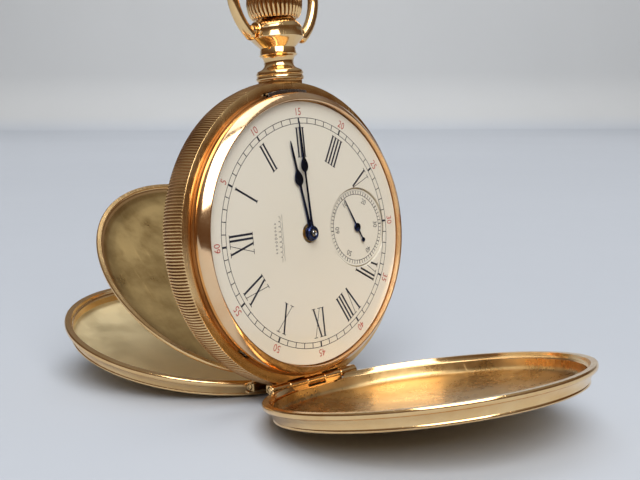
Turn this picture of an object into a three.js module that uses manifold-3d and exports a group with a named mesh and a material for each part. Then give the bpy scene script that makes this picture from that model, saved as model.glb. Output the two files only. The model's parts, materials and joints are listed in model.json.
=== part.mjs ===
// Hunter pocket watch, 18-size, standing open on its two lids.
// Millimetres. Inside the watch group x = right, y = towards the back, z = towards the pendant,
// seen from the dial side. The watch leans back on its lids, and +Z of the part is up.
import * as THREE from 'three';
import { mergeVertices } from 'three/addons/utils/BufferGeometryUtils.js';
import Module from 'manifold-3d';

const wasm = await Module();
wasm.setup();

const DEG = Math.PI / 180;

// ---------- driving dimensions ----------
const CASE_R = 27.0;            // largest radius of the coin-edged band
const BAND_EDGE_R = 26.6;       // radius of the band at its front and back edges
const BAND_HALF = 2.15;         // half thickness of the band
const LEDGE_V = 2.45;           // height of the ledges that the covers close on
const BORE_R = 22.7;            // hole that holds the movement
const WALL_R = 24.3;            // upstand that the bezel snaps on
const CHANNEL = { r: 24.4, v0: -2.0, v1: 0.0 };   // groove for the case springs
const DIAL = { r: 23.0, face: -4.45, back: -3.75, hole: 1.7 };
const SECONDS = { u: 12.45, r: 7.05, face: -4.05 };
const PLATE = { r: 22.4, front: -3.6, back: -2.0, recess: 6.2, floor: -2.6 };
const BRIDGE = { v0: 1.6, v1: 3.0 };
const LEAN = 6 * DEG;           // the whole watch leans back
const FRONT_OPEN = 85.4 * DEG;
const BACK_OPEN = 72.7 * DEG;
const CUVETTE_OPEN = 43.8 * DEG;
const FRONT_HINGE = { v: -2.5, w: -26.05 };
const BACK_HINGE = { v: 2.75, w: -25.72 };
const HINGE_HALF = 10.6;        // half length of a hinge
const KNUCKLE_R = 0.8;
const PIN_R = 0.42;
const PIN_BORE_R = 0.52;
const KNUCKLE_GAP = 0.06;       // at each end of a knuckle
const WELL_R = 1.02;            // hollow in the band round a cover's knuckles
const LID_RIM_V = 2.55;         // closed height of a lid's rim
const PIVOT_W = 35.7;           // the bow turns about this height
const BOW = { r: 9.75, w: 42.4, half: 142 * DEG, wire: 1.0 };   // an open loop about height w
const CROWN_ROOT = 38.3;        // underside of the crown
const TRAIN = {
  barrel: [-10.5, 5.2], third: [7.5, -6.5], fourth: [SECONDS.u, 0],
  escape: [15.5, 5.2], pallet: [12.97, 7.31], balance: [9.5, 10.2],
  crownWheel: [0, 11.0], minuteWheel: [-2.6, -1.87],
};
const BALANCE_R = 7.5;
const RING_SEGMENTS = 32;       // facets round the large rings
const MINUTE_HAND_ANGLE = -3.7 * DEG;   // clockwise from the pendant
const HOUR_HAND_ANGLE = -11.6 * DEG;
const SECONDS_HAND_ANGLE = -29 * DEG;

// ---------- solids ----------
// A closed geometry with shared vertices and outward faces.
function closed(geometry) {
  const bare = geometry.clone();
  for (const name of Object.keys(bare.attributes)) {
    if (name !== 'position') bare.deleteAttribute(name);
  }
  const merged = mergeVertices(bare, 1e-5);
  const p = merged.attributes.position.array;
  const kept = [];
  let volume = 0;
  const index = merged.index.array;
  for (let i = 0; i < index.length; i += 3) {
    const [a, b, c] = [index[i], index[i + 1], index[i + 2]];
    if (a === b || b === c || c === a) continue;
    kept.push(a, b, c);
    const A = new THREE.Vector3().fromArray(p, 3 * a);
    const B = new THREE.Vector3().fromArray(p, 3 * b);
    const C = new THREE.Vector3().fromArray(p, 3 * c);
    volume += A.dot(B.cross(C));
  }
  if (volume < 0) {
    for (let i = 0; i < kept.length; i += 3) [kept[i], kept[i + 1]] = [kept[i + 1], kept[i]];
  }
  merged.setIndex(kept);
  return merged;
}

function toSolid(geometry) {
  const g = closed(geometry);
  return new wasm.Manifold(new wasm.Mesh({
    numProp: 3,
    vertProperties: new Float32Array(g.attributes.position.array),
    triVerts: new Uint32Array(g.index.array),
  }));
}

function toGeometry(solid) {
  const mesh = solid.getMesh();
  const g = new THREE.BufferGeometry();
  g.setAttribute('position', new THREE.BufferAttribute(mesh.vertProperties, 3));
  g.setIndex(new THREE.BufferAttribute(mesh.triVerts, 1));
  return g;
}

function join(first, ...more) {
  return toGeometry(more.reduce((solid, g) => solid.add(toSolid(g)), toSolid(first)));
}

function cut(first, ...tools) {
  return toGeometry(tools.reduce((solid, g) => solid.subtract(toSolid(g)), toSolid(first)));
}

// Profile points are [radius, y]; the solid turns about the y axis.
function revolve(profile, segments = 48) {
  const points = profile.map(([r, v]) => new THREE.Vector2(r, v));
  if (profile[0][0] > 0 || profile.at(-1)[0] > 0) points.push(points[0].clone());
  return new THREE.LatheGeometry(points, segments);
}

// The same, turned about the z axis: profile points are [radius, z].
function revolveUp(profile, segments = 24) {
  return revolve(profile, segments).rotateX(Math.PI / 2);
}

// A shape drawn in x (right) and z (up), extruded from y = v0 to y = v1.
function plate(shape, v0, v1, curveSegments = 8) {
  const depth = v1 - v0;
  const g = new THREE.ExtrudeGeometry(shape, { depth, bevelEnabled: false, curveSegments });
  return g.rotateX(Math.PI / 2).translate(0, v1, 0);
}

function disc(r, v0, v1, segments = 14, [u, w] = [0, 0]) {
  return new THREE.CylinderGeometry(r, r, v1 - v0, segments).translate(u, (v0 + v1) / 2, w);
}

function ring(r0, r1, v0, v1, segments = 16, [u, w] = [0, 0]) {
  return revolve([[r0, v0], [r1, v0], [r1, v1], [r0, v1]], segments).translate(u, 0, w);
}

// A rod along x, between x0 and x1, at height w and depth v.
function rod(r, x0, x1, v, w, segments = 12) {
  const g = new THREE.CylinderGeometry(r, r, x1 - x0, segments).rotateZ(Math.PI / 2);
  return g.translate((x0 + x1) / 2, v, w);
}

function box(x0, x1, v0, v1, w0, w1) {
  const g = new THREE.BoxGeometry(x1 - x0, v1 - v0, w1 - w0);
  return g.translate((x0 + x1) / 2, (v0 + v1) / 2, (w0 + w1) / 2);
}

// Part of a flat ring between two angles, counted from +x towards +z.
function arcPlate(r0, r1, from, to, v0, v1, curveSegments = 12) {
  const shape = new THREE.Shape();
  shape.absarc(0, 0, r1, from * DEG, to * DEG, false);
  shape.absarc(0, 0, r0, to * DEG, from * DEG, true);
  return plate(shape, v0, v1, curveSegments);
}

function polygon(points) {
  return new THREE.Shape(points.map(([u, w]) => new THREE.Vector2(u, w)));
}

function circleHole(r, [u, w] = [0, 0]) {
  const path = new THREE.Path();
  path.absarc(u, w, r, 0, 2 * Math.PI, true);
  return path;
}

// Pointed teeth about a pitch circle, with a tip or a gap at the angle "mesh".
function gearShape(teeth, pitchR, mesh = 0, gap = false) {
  const m = 2 * pitchR / teeth;
  const tip = pitchR + 0.6 * m;
  const root = pitchR - 1.0 * m;
  const shape = new THREE.Shape();
  for (let i = 0; i < 2 * teeth; i++) {
    const r = (i % 2 === 0) === !gap ? tip : root;
    const a = mesh + Math.PI * i / teeth;
    const point = [r * Math.cos(a), r * Math.sin(a)];
    if (i === 0) shape.moveTo(...point);
    else shape.lineTo(...point);
  }
  shape.closePath();
  return shape;
}

function gear(teeth, pitchR, v0, v1, [u, w], { mesh = 0, gap = false, bore = 0 } = {}) {
  const shape = gearShape(teeth, pitchR, mesh, gap);
  if (bore > 0) shape.holes.push(circleHole(bore));
  return plate(shape, v0, v1, 5).translate(u, 0, w);
}

function bearing([u0, w0], [u1, w1]) {
  return Math.atan2(w1 - w0, u1 - u0);
}

function distance([u0, w0], [u1, w1]) {
  return Math.hypot(u1 - u0, w1 - w0);
}

// Pitch radii of a wheel and the pinion it drives.
function pitches(from, to, ratio) {
  const d = distance(from, to);
  return { wheel: d * ratio / (1 + ratio), pinion: d / (1 + ratio) };
}

// Archimedean ribbon in the x-z plane.
function spiral(r0, r1, turns, width, v0, v1, stepsPerTurn) {
  const n = Math.round(turns * stepsPerTurn);
  const outer = [];
  const inner = [];
  for (let i = 0; i <= n; i++) {
    const a = 2 * Math.PI * turns * i / n;
    const r = r0 + (r1 - r0) * i / n;
    outer.push([(r + width / 2) * Math.cos(a), (r + width / 2) * Math.sin(a)]);
    inner.push([(r - width / 2) * Math.cos(a), (r - width / 2) * Math.sin(a)]);
  }
  return plate(polygon([...outer, ...inner.reverse()]), v0, v1);
}

// ---------- the finished group ----------
const GOLD = { color: 0xd9a648, roughness: 0.24, metalness: 1.0 };
const GILT = { color: 0xd8b36a, roughness: 0.38, metalness: 1.0 };
const STEEL = { color: 0xb9bcc2, roughness: 0.3, metalness: 1.0 };
const BLUED = { color: 0x1c2440, roughness: 0.28, metalness: 0.8 };
const BRASS = { color: 0xc9a14e, roughness: 0.4, metalness: 1.0 };
const ENAMEL = { color: 0xefe9da, roughness: 0.2, metalness: 0.0 };
const RUBY = { color: 0x8f1530, roughness: 0.1, metalness: 0.0 };
const GLASS = { color: 0xf4f8fa, roughness: 0.03, metalness: 0.0, transparent: true, opacity: 0.2 };

const group = new THREE.Group();
const watch = new THREE.Group();
watch.rotation.x = -LEAN;
group.add(watch);

function add(name, geometry, look, parent = watch) {
  const mesh = new THREE.Mesh(closed(geometry), new THREE.MeshStandardMaterial(look));
  mesh.name = name;
  parent.add(mesh);
  return mesh;
}

// A group on a hinge axis: geometry given in closed watch coordinates is hung on it.
function hingeGroup({ v, w }, angle) {
  const hung = new THREE.Group();
  hung.position.set(0, v, w);
  hung.rotation.x = angle;
  watch.add(hung);
  return hung;
}

// ---------- hinges ----------
// Equal spans along x; each knuckle is [x0, x1].
function spans(count) {
  const step = 2 * HINGE_HALF / count;
  return Array.from({ length: count }, (_, i) => [
    -HINGE_HALF + i * step + KNUCKLE_GAP, -HINGE_HALF + (i + 1) * step - KNUCKLE_GAP]);
}
const FRONT_SPANS = spans(5);
const BACK_SPANS = spans(7);
const pick = (all, ...which) => which.map((i) => all[i]);
const FRONT_CASE = pick(FRONT_SPANS, 0, 2, 4);
const FRONT_LID = pick(FRONT_SPANS, 1, 3);
const BACK_CASE = pick(BACK_SPANS, 0, 3, 6);
const BACK_LID = pick(BACK_SPANS, 1, 5);
const BACK_CUVETTE = pick(BACK_SPANS, 2, 4);

const along = (r, list, { v, w }, segments) => list.map(([a, b]) => rod(r, a, b, v, w, segments));
const knuckles = (list, hinge) => along(KNUCKLE_R, list, hinge, 10);
const pinBore = (hinge) => along(PIN_BORE_R, [[-12, 12]], hinge, 8)[0];
const widened = (list) => list.map(([a, b]) => [a - KNUCKLE_GAP, b + KNUCKLE_GAP]);

// ---------- case ----------
function caseCenter() {
  const body = revolve([
    [BORE_R, -3.7], [WALL_R, -3.7], [WALL_R, -LEDGE_V - 0.05], [25.1, -LEDGE_V],
    [BAND_EDGE_R, -BAND_HALF], [CASE_R, 0], [BAND_EDGE_R, BAND_HALF], [25.1, LEDGE_V],
    [23.55, LEDGE_V], [23.55, 2.85], [BORE_R, 2.85], [BORE_R, CHANNEL.v1],
    [CHANNEL.r, CHANNEL.v1], [CHANNEL.r, CHANNEL.v0], [BORE_R, CHANNEL.v0],
  ], RING_SEGMENTS);
  const wells = [
    ...along(WELL_R, widened(FRONT_LID), FRONT_HINGE, 8),
    ...along(WELL_R, widened([...BACK_LID, ...BACK_CUVETTE]), BACK_HINGE, 8),
  ];
  const stemHole = new THREE.CylinderGeometry(1.95, 1.95, 5, 20).rotateX(Math.PI / 2)
    .translate(0, 0, 25.6);
  const innerHole = new THREE.CylinderGeometry(1.2, 1.2, 4, 16).rotateX(Math.PI / 2)
    .translate(0, 0, 23.0);
  const catchSlot = arcPlate(23.95, 25.3, 83, 105.6, -4.2, -0.95);
  const liftSlot = arcPlate(24.0, 24.9, 226, 232, -4.2, -0.95, 3);
  const saddles = [
    ...FRONT_CASE.map(([a, b]) => box(a, b, -2.6, -1.6, -26.45, -25.2)),
    ...BACK_CASE.map(([a, b]) => box(a, b, 1.6, 2.8, -26.45, -25.2)),
  ];
  return cut(
    join(cut(body, ...wells, stemHole, innerHole, catchSlot, liftSlot),
      ...saddles, ...knuckles(FRONT_CASE, FRONT_HINGE), ...knuckles(BACK_CASE, BACK_HINGE)),
    pinBore(FRONT_HINGE), pinBore(BACK_HINGE));
}
add('case_center', caseCenter(), GOLD);

const bezelRing = revolve([
  [23.2, -4.95], [24.1, -5.35], [24.65, -4.8], [24.93, -3.5],
  [24.93, -2.55], [24.42, -2.55], [24.42, -3.78], [23.2, -3.78],
], RING_SEGMENTS);
add('bezel', cut(bezelRing, arcPlate(23.98, 26, 83, 105.6, -3.5, -2.0),
  arcPlate(24.2, 26, 226, 232, -3.2, -2.0, 3)), GOLD);

// Crystal: [radius, outer height]; it is one thickness all over.
const CRYSTAL_THICKNESS = 0.35;
const crystalOuter = [[23.1, -5.0], [21.6, -5.6], [14, -6.2], [0, -6.45]];
add('crystal', revolve([
  ...crystalOuter, ...crystalOuter.toReversed().map(([r, v]) => [r, v + CRYSTAL_THICKNESS]),
], RING_SEGMENTS), GLASS);

// A cover in its closed place, hung on its hinge; "side" is -1 in front and 1 behind.
function lid(side, leafSpans, hinge) {
  const outer = [[26.6, 0], [26.75, 0.5], [26.2, 1.15], [25.2, 2.7], [24.9, 3.25], [16, 4.48],
    [3, 4.98], [0, 4.98]];
  const inner = [[0, 4.52], [14, 4.15], [24.3, 3.05], [24.95, 2.2], [25.15, 1.0], [25.6, 0]];
  const profile = [...outer, ...inner].map(([r, depth]) => [r, side * (LID_RIM_V + depth)]);
  const shell = new THREE.LatheGeometry(
    [...profile, profile[0]].map(([r, v]) => new THREE.Vector2(r, v)), RING_SEGMENTS);
  const [a, b] = [side * (LID_RIM_V - 0.5), side * (LID_RIM_V + 1.15)].sort((x, y) => x - y);
  const notch = box(-10.9, 10.9, a, b, -28, -24.7);
  const [c, d] = [side * (Math.abs(hinge.v) + 0.25), side * (LID_RIM_V + 1.4)].sort((x, y) => x - y);
  const leaves = leafSpans.map(([x0, x1]) => box(x0, x1, c, d, -26.05, -25.2));
  return cut(join(cut(shell, notch), ...leaves, ...knuckles(leafSpans, hinge)), pinBore(hinge))
    .translate(0, -hinge.v, -hinge.w);
}

const frontHinge = hingeGroup(FRONT_HINGE, FRONT_OPEN);
add('front_lid', lid(-1, FRONT_LID, FRONT_HINGE), GOLD, frontHinge);
const backHinge = hingeGroup(BACK_HINGE, -BACK_OPEN);
add('back_cover', lid(1, BACK_LID, BACK_HINGE), GOLD, backHinge);

function cuvette() {
  const shell = revolve([
    [24.75, LID_RIM_V], [24.85, 2.95], [24.5, 3.4], [23.9, 3.5], [22.6, 4.3], [12, 4.82],
    [0, 4.97], [0, 4.6], [12, 4.45], [22.3, 3.95], [23.5, 3.25], [24.1, LID_RIM_V],
  ], RING_SEGMENTS);
  const leaves = BACK_CUVETTE.map(([a, b]) => box(a, b, 2.6, 3.1, -25.6, -24.3));
  return cut(join(shell, ...leaves, ...knuckles(BACK_CUVETTE, BACK_HINGE)), pinBore(BACK_HINGE))
    .translate(0, -BACK_HINGE.v, -BACK_HINGE.w);
}
const cuvetteHinge = hingeGroup(BACK_HINGE, -CUVETTE_OPEN);
add('cuvette', cuvette(), GOLD, cuvetteHinge);

const hingePin = (hinge) => along(PIN_R, [[-HINGE_HALF, HINGE_HALF]], hinge, 8)[0];
add('front_hinge_pin', hingePin(FRONT_HINGE), GOLD);
add('back_hinge_pin', hingePin(BACK_HINGE), GOLD);

// ---------- pendant, bow, crown ----------
const pendantBody = revolveUp([
  [1.2, 25.4], [1.85, 25.4], [1.85, 27.05], [4.2, 27.05], [4.2, 28.9], [2.64, 30.0],
  [2.75, 31.6], [3.3, 31.8], [3.3, 32.6], [2.9, 33.2], [4.35, 35.2],
  [4.0, 37.2], [3.7, 37.7], [1.9, 37.7], [1.9, 29.8], [1.2, 29.8],
], 20);
const ear = (side) => new THREE.CylinderGeometry(1.5, 1.5, 0.9, 16).rotateZ(Math.PI / 2)
  .translate(side * 4.05, 0, PIVOT_W);
const pivotHole = (side) => rod(0.62, side * 4.05 - 0.95, side * 4.05 + 0.95, 0, PIVOT_W, 12);
add('pendant', cut(join(pendantBody, ear(-1), ear(1)), pivotHole(-1), pivotHole(1)), GOLD);

class BowCurve extends THREE.Curve {
  getPoint(t, target = new THREE.Vector3()) {
    const a = (t - 0.5) * 2 * BOW.half;
    return target.set(BOW.r * Math.sin(a), 0, BOW.w + BOW.r * Math.cos(a));
  }
}
const bowWire = new THREE.ExtrudeGeometry(
  new THREE.Shape().absarc(0, 0, BOW.wire, 0, 2 * Math.PI, false),
  { steps: 22, extrudePath: new BowCurve(), curveSegments: 4, bevelEnabled: false });
const bowEnd = (side) => join(
  new THREE.SphereGeometry(1.25, 10, 6).translate(side * 6.0, 0, 34.9),
  rod(1.1, side * 5.35 - 0.65, side * 5.35 + 0.65, 0, PIVOT_W, 10),
  rod(0.5, side * 4.3 - 1.2, side * 4.3 + 1.2, 0, PIVOT_W, 12));
add('bow', join(bowWire, bowEnd(-1), bowEnd(1)), GOLD);

add('crown', revolveUp([
  [0, CROWN_ROOT], [3.7, CROWN_ROOT], [4.5, 39.0], [4.95, 40.2], [4.85, 41.6], [4.2, 42.9],
  [2.8, 43.8], [1.2, 44.2], [0, 44.25],
], 24), GOLD);

const squareEnd = new THREE.CylinderGeometry(0.62, 0.62, 5.2, 4).rotateX(Math.PI / 2)
  .translate(0, 0, 15.4);
add('winding_stem', join(revolveUp([
  [0, 17.6], [0.85, 17.6], [0.85, 30.6], [1.3, 30.6], [1.3, 31.3], [0.85, 31.3],
  [0.85, CROWN_ROOT - 0.03], [0, CROWN_ROOT - 0.03],
], 14), squareEnd), STEEL);
add('stem_collar', revolveUp([
  [1.0, 31.5], [1.75, 31.5], [1.75, 36.6], [1.0, 36.6],
], 18), STEEL);

// ---------- case springs ----------
const lockArm = arcPlate(23.0, 23.7, 84, 196, -1.85, -1.1, 14);
const lockNose = arcPlate(23.6, 25.0, 84, 104.8, -1.85, -1.1, 5);
const lockLip = arcPlate(24.42, 25.0, 84, 104.8, -3.36, -1.8, 5);
add('lock_spring', join(lockArm, lockNose, lockLip), STEEL);
const liftArm = arcPlate(23.0, 23.7, 206, 264, -1.85, -1.1, 8);
const liftTip = join(arcPlate(23.5, 24.7, 227, 231, -1.85, -1.1, 2),
  arcPlate(24.25, 24.7, 227, 231, -3.0, -1.8, 2));
add('lift_spring', join(liftArm, liftTip), STEEL);

// ---------- dial side ----------
const dialShape = new THREE.Shape().absarc(0, 0, DIAL.r, 0, 2 * Math.PI, false);
dialShape.holes.push(circleHole(DIAL.hole), circleHole(SECONDS.r + 0.2, [SECONDS.u, 0]));
add('dial', plate(dialShape, DIAL.face, DIAL.back, 12), ENAMEL);
add('seconds_dial', ring(0.5, SECONDS.r, SECONDS.face, -3.68, 24, [SECONDS.u, 0]), ENAMEL);

// Spade hand pointing along +z from its boss, then turned clockwise by "angle".
function spadeHand({ bossR, bore, width, spadeAt, spadeHalf, spadeLength, tip, v0, v1, tubeTo }) {
  const half = width / 2;
  const outline = polygon([
    [half * 1.5, bossR * 0.6], [half, spadeAt - spadeLength * 0.45],
    [spadeHalf, spadeAt - spadeLength * 0.1],
    [spadeHalf * 0.9, spadeAt + spadeLength * 0.15], [half, spadeAt + spadeLength * 0.6],
    [half * 0.7, tip], [-half * 0.7, tip], [-half, spadeAt + spadeLength * 0.6],
    [-spadeHalf * 0.9, spadeAt + spadeLength * 0.15], [-spadeHalf, spadeAt - spadeLength * 0.1],
    [-half, spadeAt - spadeLength * 0.45], [-half * 1.5, bossR * 0.6],
  ]);
  const boss = disc(bossR, Math.min(v0, tubeTo), v1, 18);
  return cut(join(plate(outline, v0, v1), boss), disc(bore, -8, -4.6, 12));
}
const hourHand = spadeHand({ bossR: 1.4, bore: 0.95, width: 0.55, spadeAt: 9.7, spadeHalf: 0.98,
  spadeLength: 2.6, tip: 16.5, v0: -4.9, v1: -4.74, tubeTo: -4.9 });
const minuteHand = spadeHand({ bossR: 1.3, bore: 0.52, width: 0.45, spadeAt: 11.8,
  spadeHalf: 0.83, spadeLength: 2.4, tip: 19.6, v0: -5.28, v1: -5.12, tubeTo: -5.55 });
add('hour_hand', hourHand.rotateY(HOUR_HAND_ANGLE), BLUED);
add('minute_hand', minuteHand.rotateY(MINUTE_HAND_ANGLE), BLUED);
const secondsOutline = polygon([[0.2, 0], [0.08, 6.0], [-0.08, 6.0], [-0.2, 0], [-0.16, -2.4],
  [-0.42, -2.9], [0, -3.3], [0.42, -2.9], [0.16, -2.4]]);
const secondsHand = join(plate(secondsOutline, -4.42, -4.3), disc(0.55, -4.5, -4.25, 14));
add('seconds_hand', cut(secondsHand, disc(0.2, -4.4, -4.0, 10))
  .rotateY(SECONDS_HAND_ANGLE).translate(SECONDS.u, 0, 0), BLUED);

// ---------- movement: plates ----------
const rimScrewAt = [[-12.5, -14.5], [9.0, -17.0]];
add('pillar_plate', cut(revolve([
  [1.2, PLATE.floor], [PLATE.recess, PLATE.floor], [PLATE.recess, PLATE.front],
  [PLATE.r, PLATE.front], [PLATE.r, PLATE.back], [1.2, PLATE.back],
], RING_SEGMENTS),
disc(0.75, -4, -1, 12, TRAIN.fourth),
...rimScrewAt.map((at) => disc(0.62, -4, -1, 12, at))), GILT);

function drill(geometry, ...holes) {
  return cut(geometry, ...holes.map(([r, at]) => disc(r, -3, 4, 14, at)));
}
const onCircle = (r, angle) => [r * Math.cos(angle * DEG), r * Math.sin(angle * DEG)];
const arcPoints = (r, from, to, n) => Array.from(
  { length: n + 1 }, (_, i) => onCircle(r, from + (to - from) * i / n));
const screwAt = [onCircle(20.6, 103), onCircle(20.6, 207), onCircle(20.6, 250),
  onCircle(20.6, 328), onCircle(20.7, 1), onCircle(20.7, 25)];
const foot = (from, to, v1 = BRIDGE.v0 + 0.1) => arcPlate(19.5, 22.0, from, to, -1.97, v1, 5);

const barrelOutline = polygon([...arcPoints(22.0, 94, 216, 18), [-9.6, -8.2], [-2.6, -3.6],
  [2.7, -2.9], [3.2, 3.0], [2.3, 6.5], [5.4, 9.0], [5.6, 13.0], [2.6, 16.6]]);
const barrelBridge = join(plate(barrelOutline, BRIDGE.v0, BRIDGE.v1), foot(96, 110), foot(200, 214));
const crownPocket = disc(4.72, 1.9, 4, 28, TRAIN.crownWheel);
const pinionWindow = box(-2.25, 2.25, 1, 3, 13.2, 16.4);
add('barrel_bridge', drill(cut(barrelBridge, crownPocket, pinionWindow),
  [1.6, TRAIN.barrel], [0.95, [0, 0]], [0.62, screwAt[0]], [0.62, screwAt[1]]), GILT);

const trainOutline = polygon([...arcPoints(22.0, 222, 346, 18), [15.4, 2.0], [10.4, 2.6],
  [4.0, -1.6], [1.5, -4.2], [-2.4, -5.2]]);
add('train_bridge', drill(join(plate(trainOutline, BRIDGE.v0, BRIDGE.v1),
  foot(243, 257), foot(321, 335)),
[0.95, TRAIN.third], [0.95, TRAIN.fourth], [0.62, screwAt[2]], [0.62, screwAt[3]]), GILT);

// The cock reaches from its foot, at the right, over the middle of the balance.
const cockOutline = polygon([...arcPoints(22.0, -9.5, 11.5, 4), [17.0, 8.2], [12.6, 11.6],
  [11.2, 12.9], [9.5, 13.4], [7.6, 12.8], [6.3, 11.2], [6.2, 9.3], [7.4, 7.7], [9.6, 7.0],
  [12.6, 5.2], [16.2, 2.6]]);
const cockFoot = arcPlate(19.5, 22.0, -8, 10, -1.97, 2.2, 5);
add('balance_cock', drill(join(plate(cockOutline, 2.1, 3.1), cockFoot),
  [0.95, TRAIN.balance], [0.62, screwAt[4]]), GILT);
const palletOutline = polygon([...arcPoints(21.9, 18, 31, 3), [13.9, 9.3], [12.0, 8.6],
  [11.7, 6.9], [13.4, 6.0], [14.2, 4.4], [15.6, 3.9], [17.1, 4.6], [18.2, 6.0]]);
add('pallet_cock', drill(join(plate(palletOutline, 0.24, 0.58),
  arcPlate(19.7, 21.9, 20, 30, -1.97, 0.3, 4)),
[0.3, TRAIN.escape], [0.3, TRAIN.pallet], [0.4, screwAt[5]]), GILT);

screwAt.slice(0, 5).forEach((at, i) => {
  const top = i === 4 ? 3.1 : BRIDGE.v1;
  const screw = join(disc(0.95, top + 0.03, top + 0.45, 16, at), disc(0.5, -1.5, top + 0.1, 10, at));
  const slot = box(at[0] - 1.2, at[0] + 1.2, top + 0.28, top + 1, at[1] - 0.14, at[1] + 0.14);
  add(`bridge_screw_${i + 1}`, cut(screw, slot), BLUED);
});
rimScrewAt.forEach((at, i) => {
  const screw = join(disc(1.15, -1.95, -1.5, 16, at), disc(0.5, -3.5, -1.9, 10, at));
  const slot = box(at[0] - 1.4, at[0] + 1.4, -1.7, -1, at[1] - 0.16, at[1] + 0.16);
  add(`case_screw_${i + 1}`, cut(screw, slot), STEEL);
});
const jewels = { center: [0, 0], third: TRAIN.third, fourth: TRAIN.fourth };
for (const [name, at] of Object.entries(jewels)) {
  add(`jewel_${name}`, ring(0.3, 0.9, 2.3, 3.04, 16, at), RUBY);
}
add('jewel_balance', ring(0.2, 0.9, 2.45, 3.14, 16, TRAIN.balance), RUBY);

// ---------- movement: going train ----------
const origin = [0, 0];
const centreToThird = pitches(origin, TRAIN.third, 8);
const thirdToFourth = pitches(TRAIN.third, TRAIN.fourth, 7.5);
const fourthToEscape = pitches(TRAIN.fourth, TRAIN.escape, 10);
const barrelToCentre = pitches(TRAIN.barrel, origin, 6.5);

const centreMesh = bearing(origin, TRAIN.third);
add('center_wheel', join(
  gear(80, centreToThird.wheel, -1.85, -1.55, origin, { mesh: centreMesh }),
  gear(12, barrelToCentre.pinion, 0.75, 1.45, origin,
    { mesh: bearing(origin, TRAIN.barrel), gap: true }),
  disc(1.1, -1.95, 0.8, 14), disc(0.26, -2.5, 2.9, 12)), BRASS);
add('third_wheel', join(
  gear(75, thirdToFourth.wheel, -0.95, -0.7, TRAIN.third,
    { mesh: bearing(TRAIN.third, TRAIN.fourth) }),
  gear(10, centreToThird.pinion, -1.95, -1.35, TRAIN.third, { mesh: centreMesh + Math.PI, gap: true }),
  disc(0.6, -1.4, 1.2, 12, TRAIN.third), disc(0.22, 1.1, 2.9, 10, TRAIN.third)), BRASS);
add('fourth_wheel', join(
  gear(80, fourthToEscape.wheel, -0.2, 0.02, TRAIN.fourth,
    { mesh: bearing(TRAIN.fourth, TRAIN.escape) }),
  gear(10, thirdToFourth.pinion, -1.1, -0.5, TRAIN.fourth,
    { mesh: bearing(TRAIN.fourth, TRAIN.third), gap: true }),
  disc(0.5, -1.9, 1.2, 12, TRAIN.fourth), disc(0.22, 1.1, 2.9, 10, TRAIN.fourth),
  disc(0.18, -4.38, -1.8, 10, TRAIN.fourth)), BRASS);

function escapeWheel() {
  const shape = new THREE.Shape();
  const teeth = 15;
  for (let i = 0; i < teeth; i++) {
    const a = 2 * Math.PI * i / teeth;
    const at = (r, da) => [r * Math.cos(a + da), r * Math.sin(a + da)];
    if (i === 0) shape.moveTo(...at(2.1, 0));
    else shape.lineTo(...at(2.1, 0));
    shape.lineTo(...at(2.85, 0.16));
    shape.lineTo(...at(2.85, 0.23));
    shape.lineTo(...at(2.1, 0.24));
  }
  shape.closePath();
  return join(plate(shape, -1.25, -1.0).translate(TRAIN.escape[0], 0, TRAIN.escape[1]),
    gear(8, fourthToEscape.pinion, -0.35, 0.16, TRAIN.escape,
      { mesh: bearing(TRAIN.escape, TRAIN.fourth), gap: true }),
    disc(0.36, -1.95, -0.3, 10, TRAIN.escape), disc(0.2, 0.1, 0.52, 10, TRAIN.escape));
}
add('escape_wheel', escapeWheel(), STEEL);

// Lever drawn with its fork along +x and its pallets at -x, then turned to face the balance.
const fork = polygon([[0.55, 0.3], [2.5, 0.22], [2.9, 0.55], [3.25, 0.55], [3.05, 0.12],
  [3.05, -0.12], [3.25, -0.55], [2.9, -0.55], [2.5, -0.22], [0.55, -0.3], [0.2, -1.9],
  [-0.55, -2.35], [-0.8, -1.95], [-0.35, -0.5], [-0.35, 0.5], [-0.8, 1.95], [-0.55, 2.35],
  [0.2, 1.9]]);
const palletFork = join(plate(fork, -1.28, -1.0), disc(0.5, -1.4, -0.9, 12), disc(0.2, -1.95, 0.52, 10))
  .rotateY(-bearing(TRAIN.pallet, TRAIN.balance));
add('pallet_fork', palletFork.translate(TRAIN.pallet[0], 0, TRAIN.pallet[1]), STEEL);

function barrelDrum() {
  const drum = revolve([[1.35, -1.3], [9.5, -1.3], [9.5, 0.9], [9.0, 0.9], [9.0, -0.95],
    [1.35, -0.95]], 24);
  const mesh = bearing(TRAIN.barrel, origin);
  const teeth = gearShape(78, barrelToCentre.wheel, mesh);
  teeth.holes.push(circleHole(9.05));
  return join(drum, plate(teeth, 0.85, 1.35, 6)).translate(TRAIN.barrel[0], 0, TRAIN.barrel[1]);
}
add('mainspring_barrel', barrelDrum(), BRASS);
add('barrel_cover', ring(1.35, 8.7, 1.05, 1.35, 24, TRAIN.barrel), BRASS);
add('mainspring', spiral(4.1, 8.4, 4, 0.3, -0.85, 0.95, 12)
  .translate(TRAIN.barrel[0], 0, TRAIN.barrel[1]), STEEL);
add('barrel_arbor', join(disc(2.6, -0.85, 0.95, 18, TRAIN.barrel),
  disc(1.2, -1.9, 3.0, 16, TRAIN.barrel)), STEEL);

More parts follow.
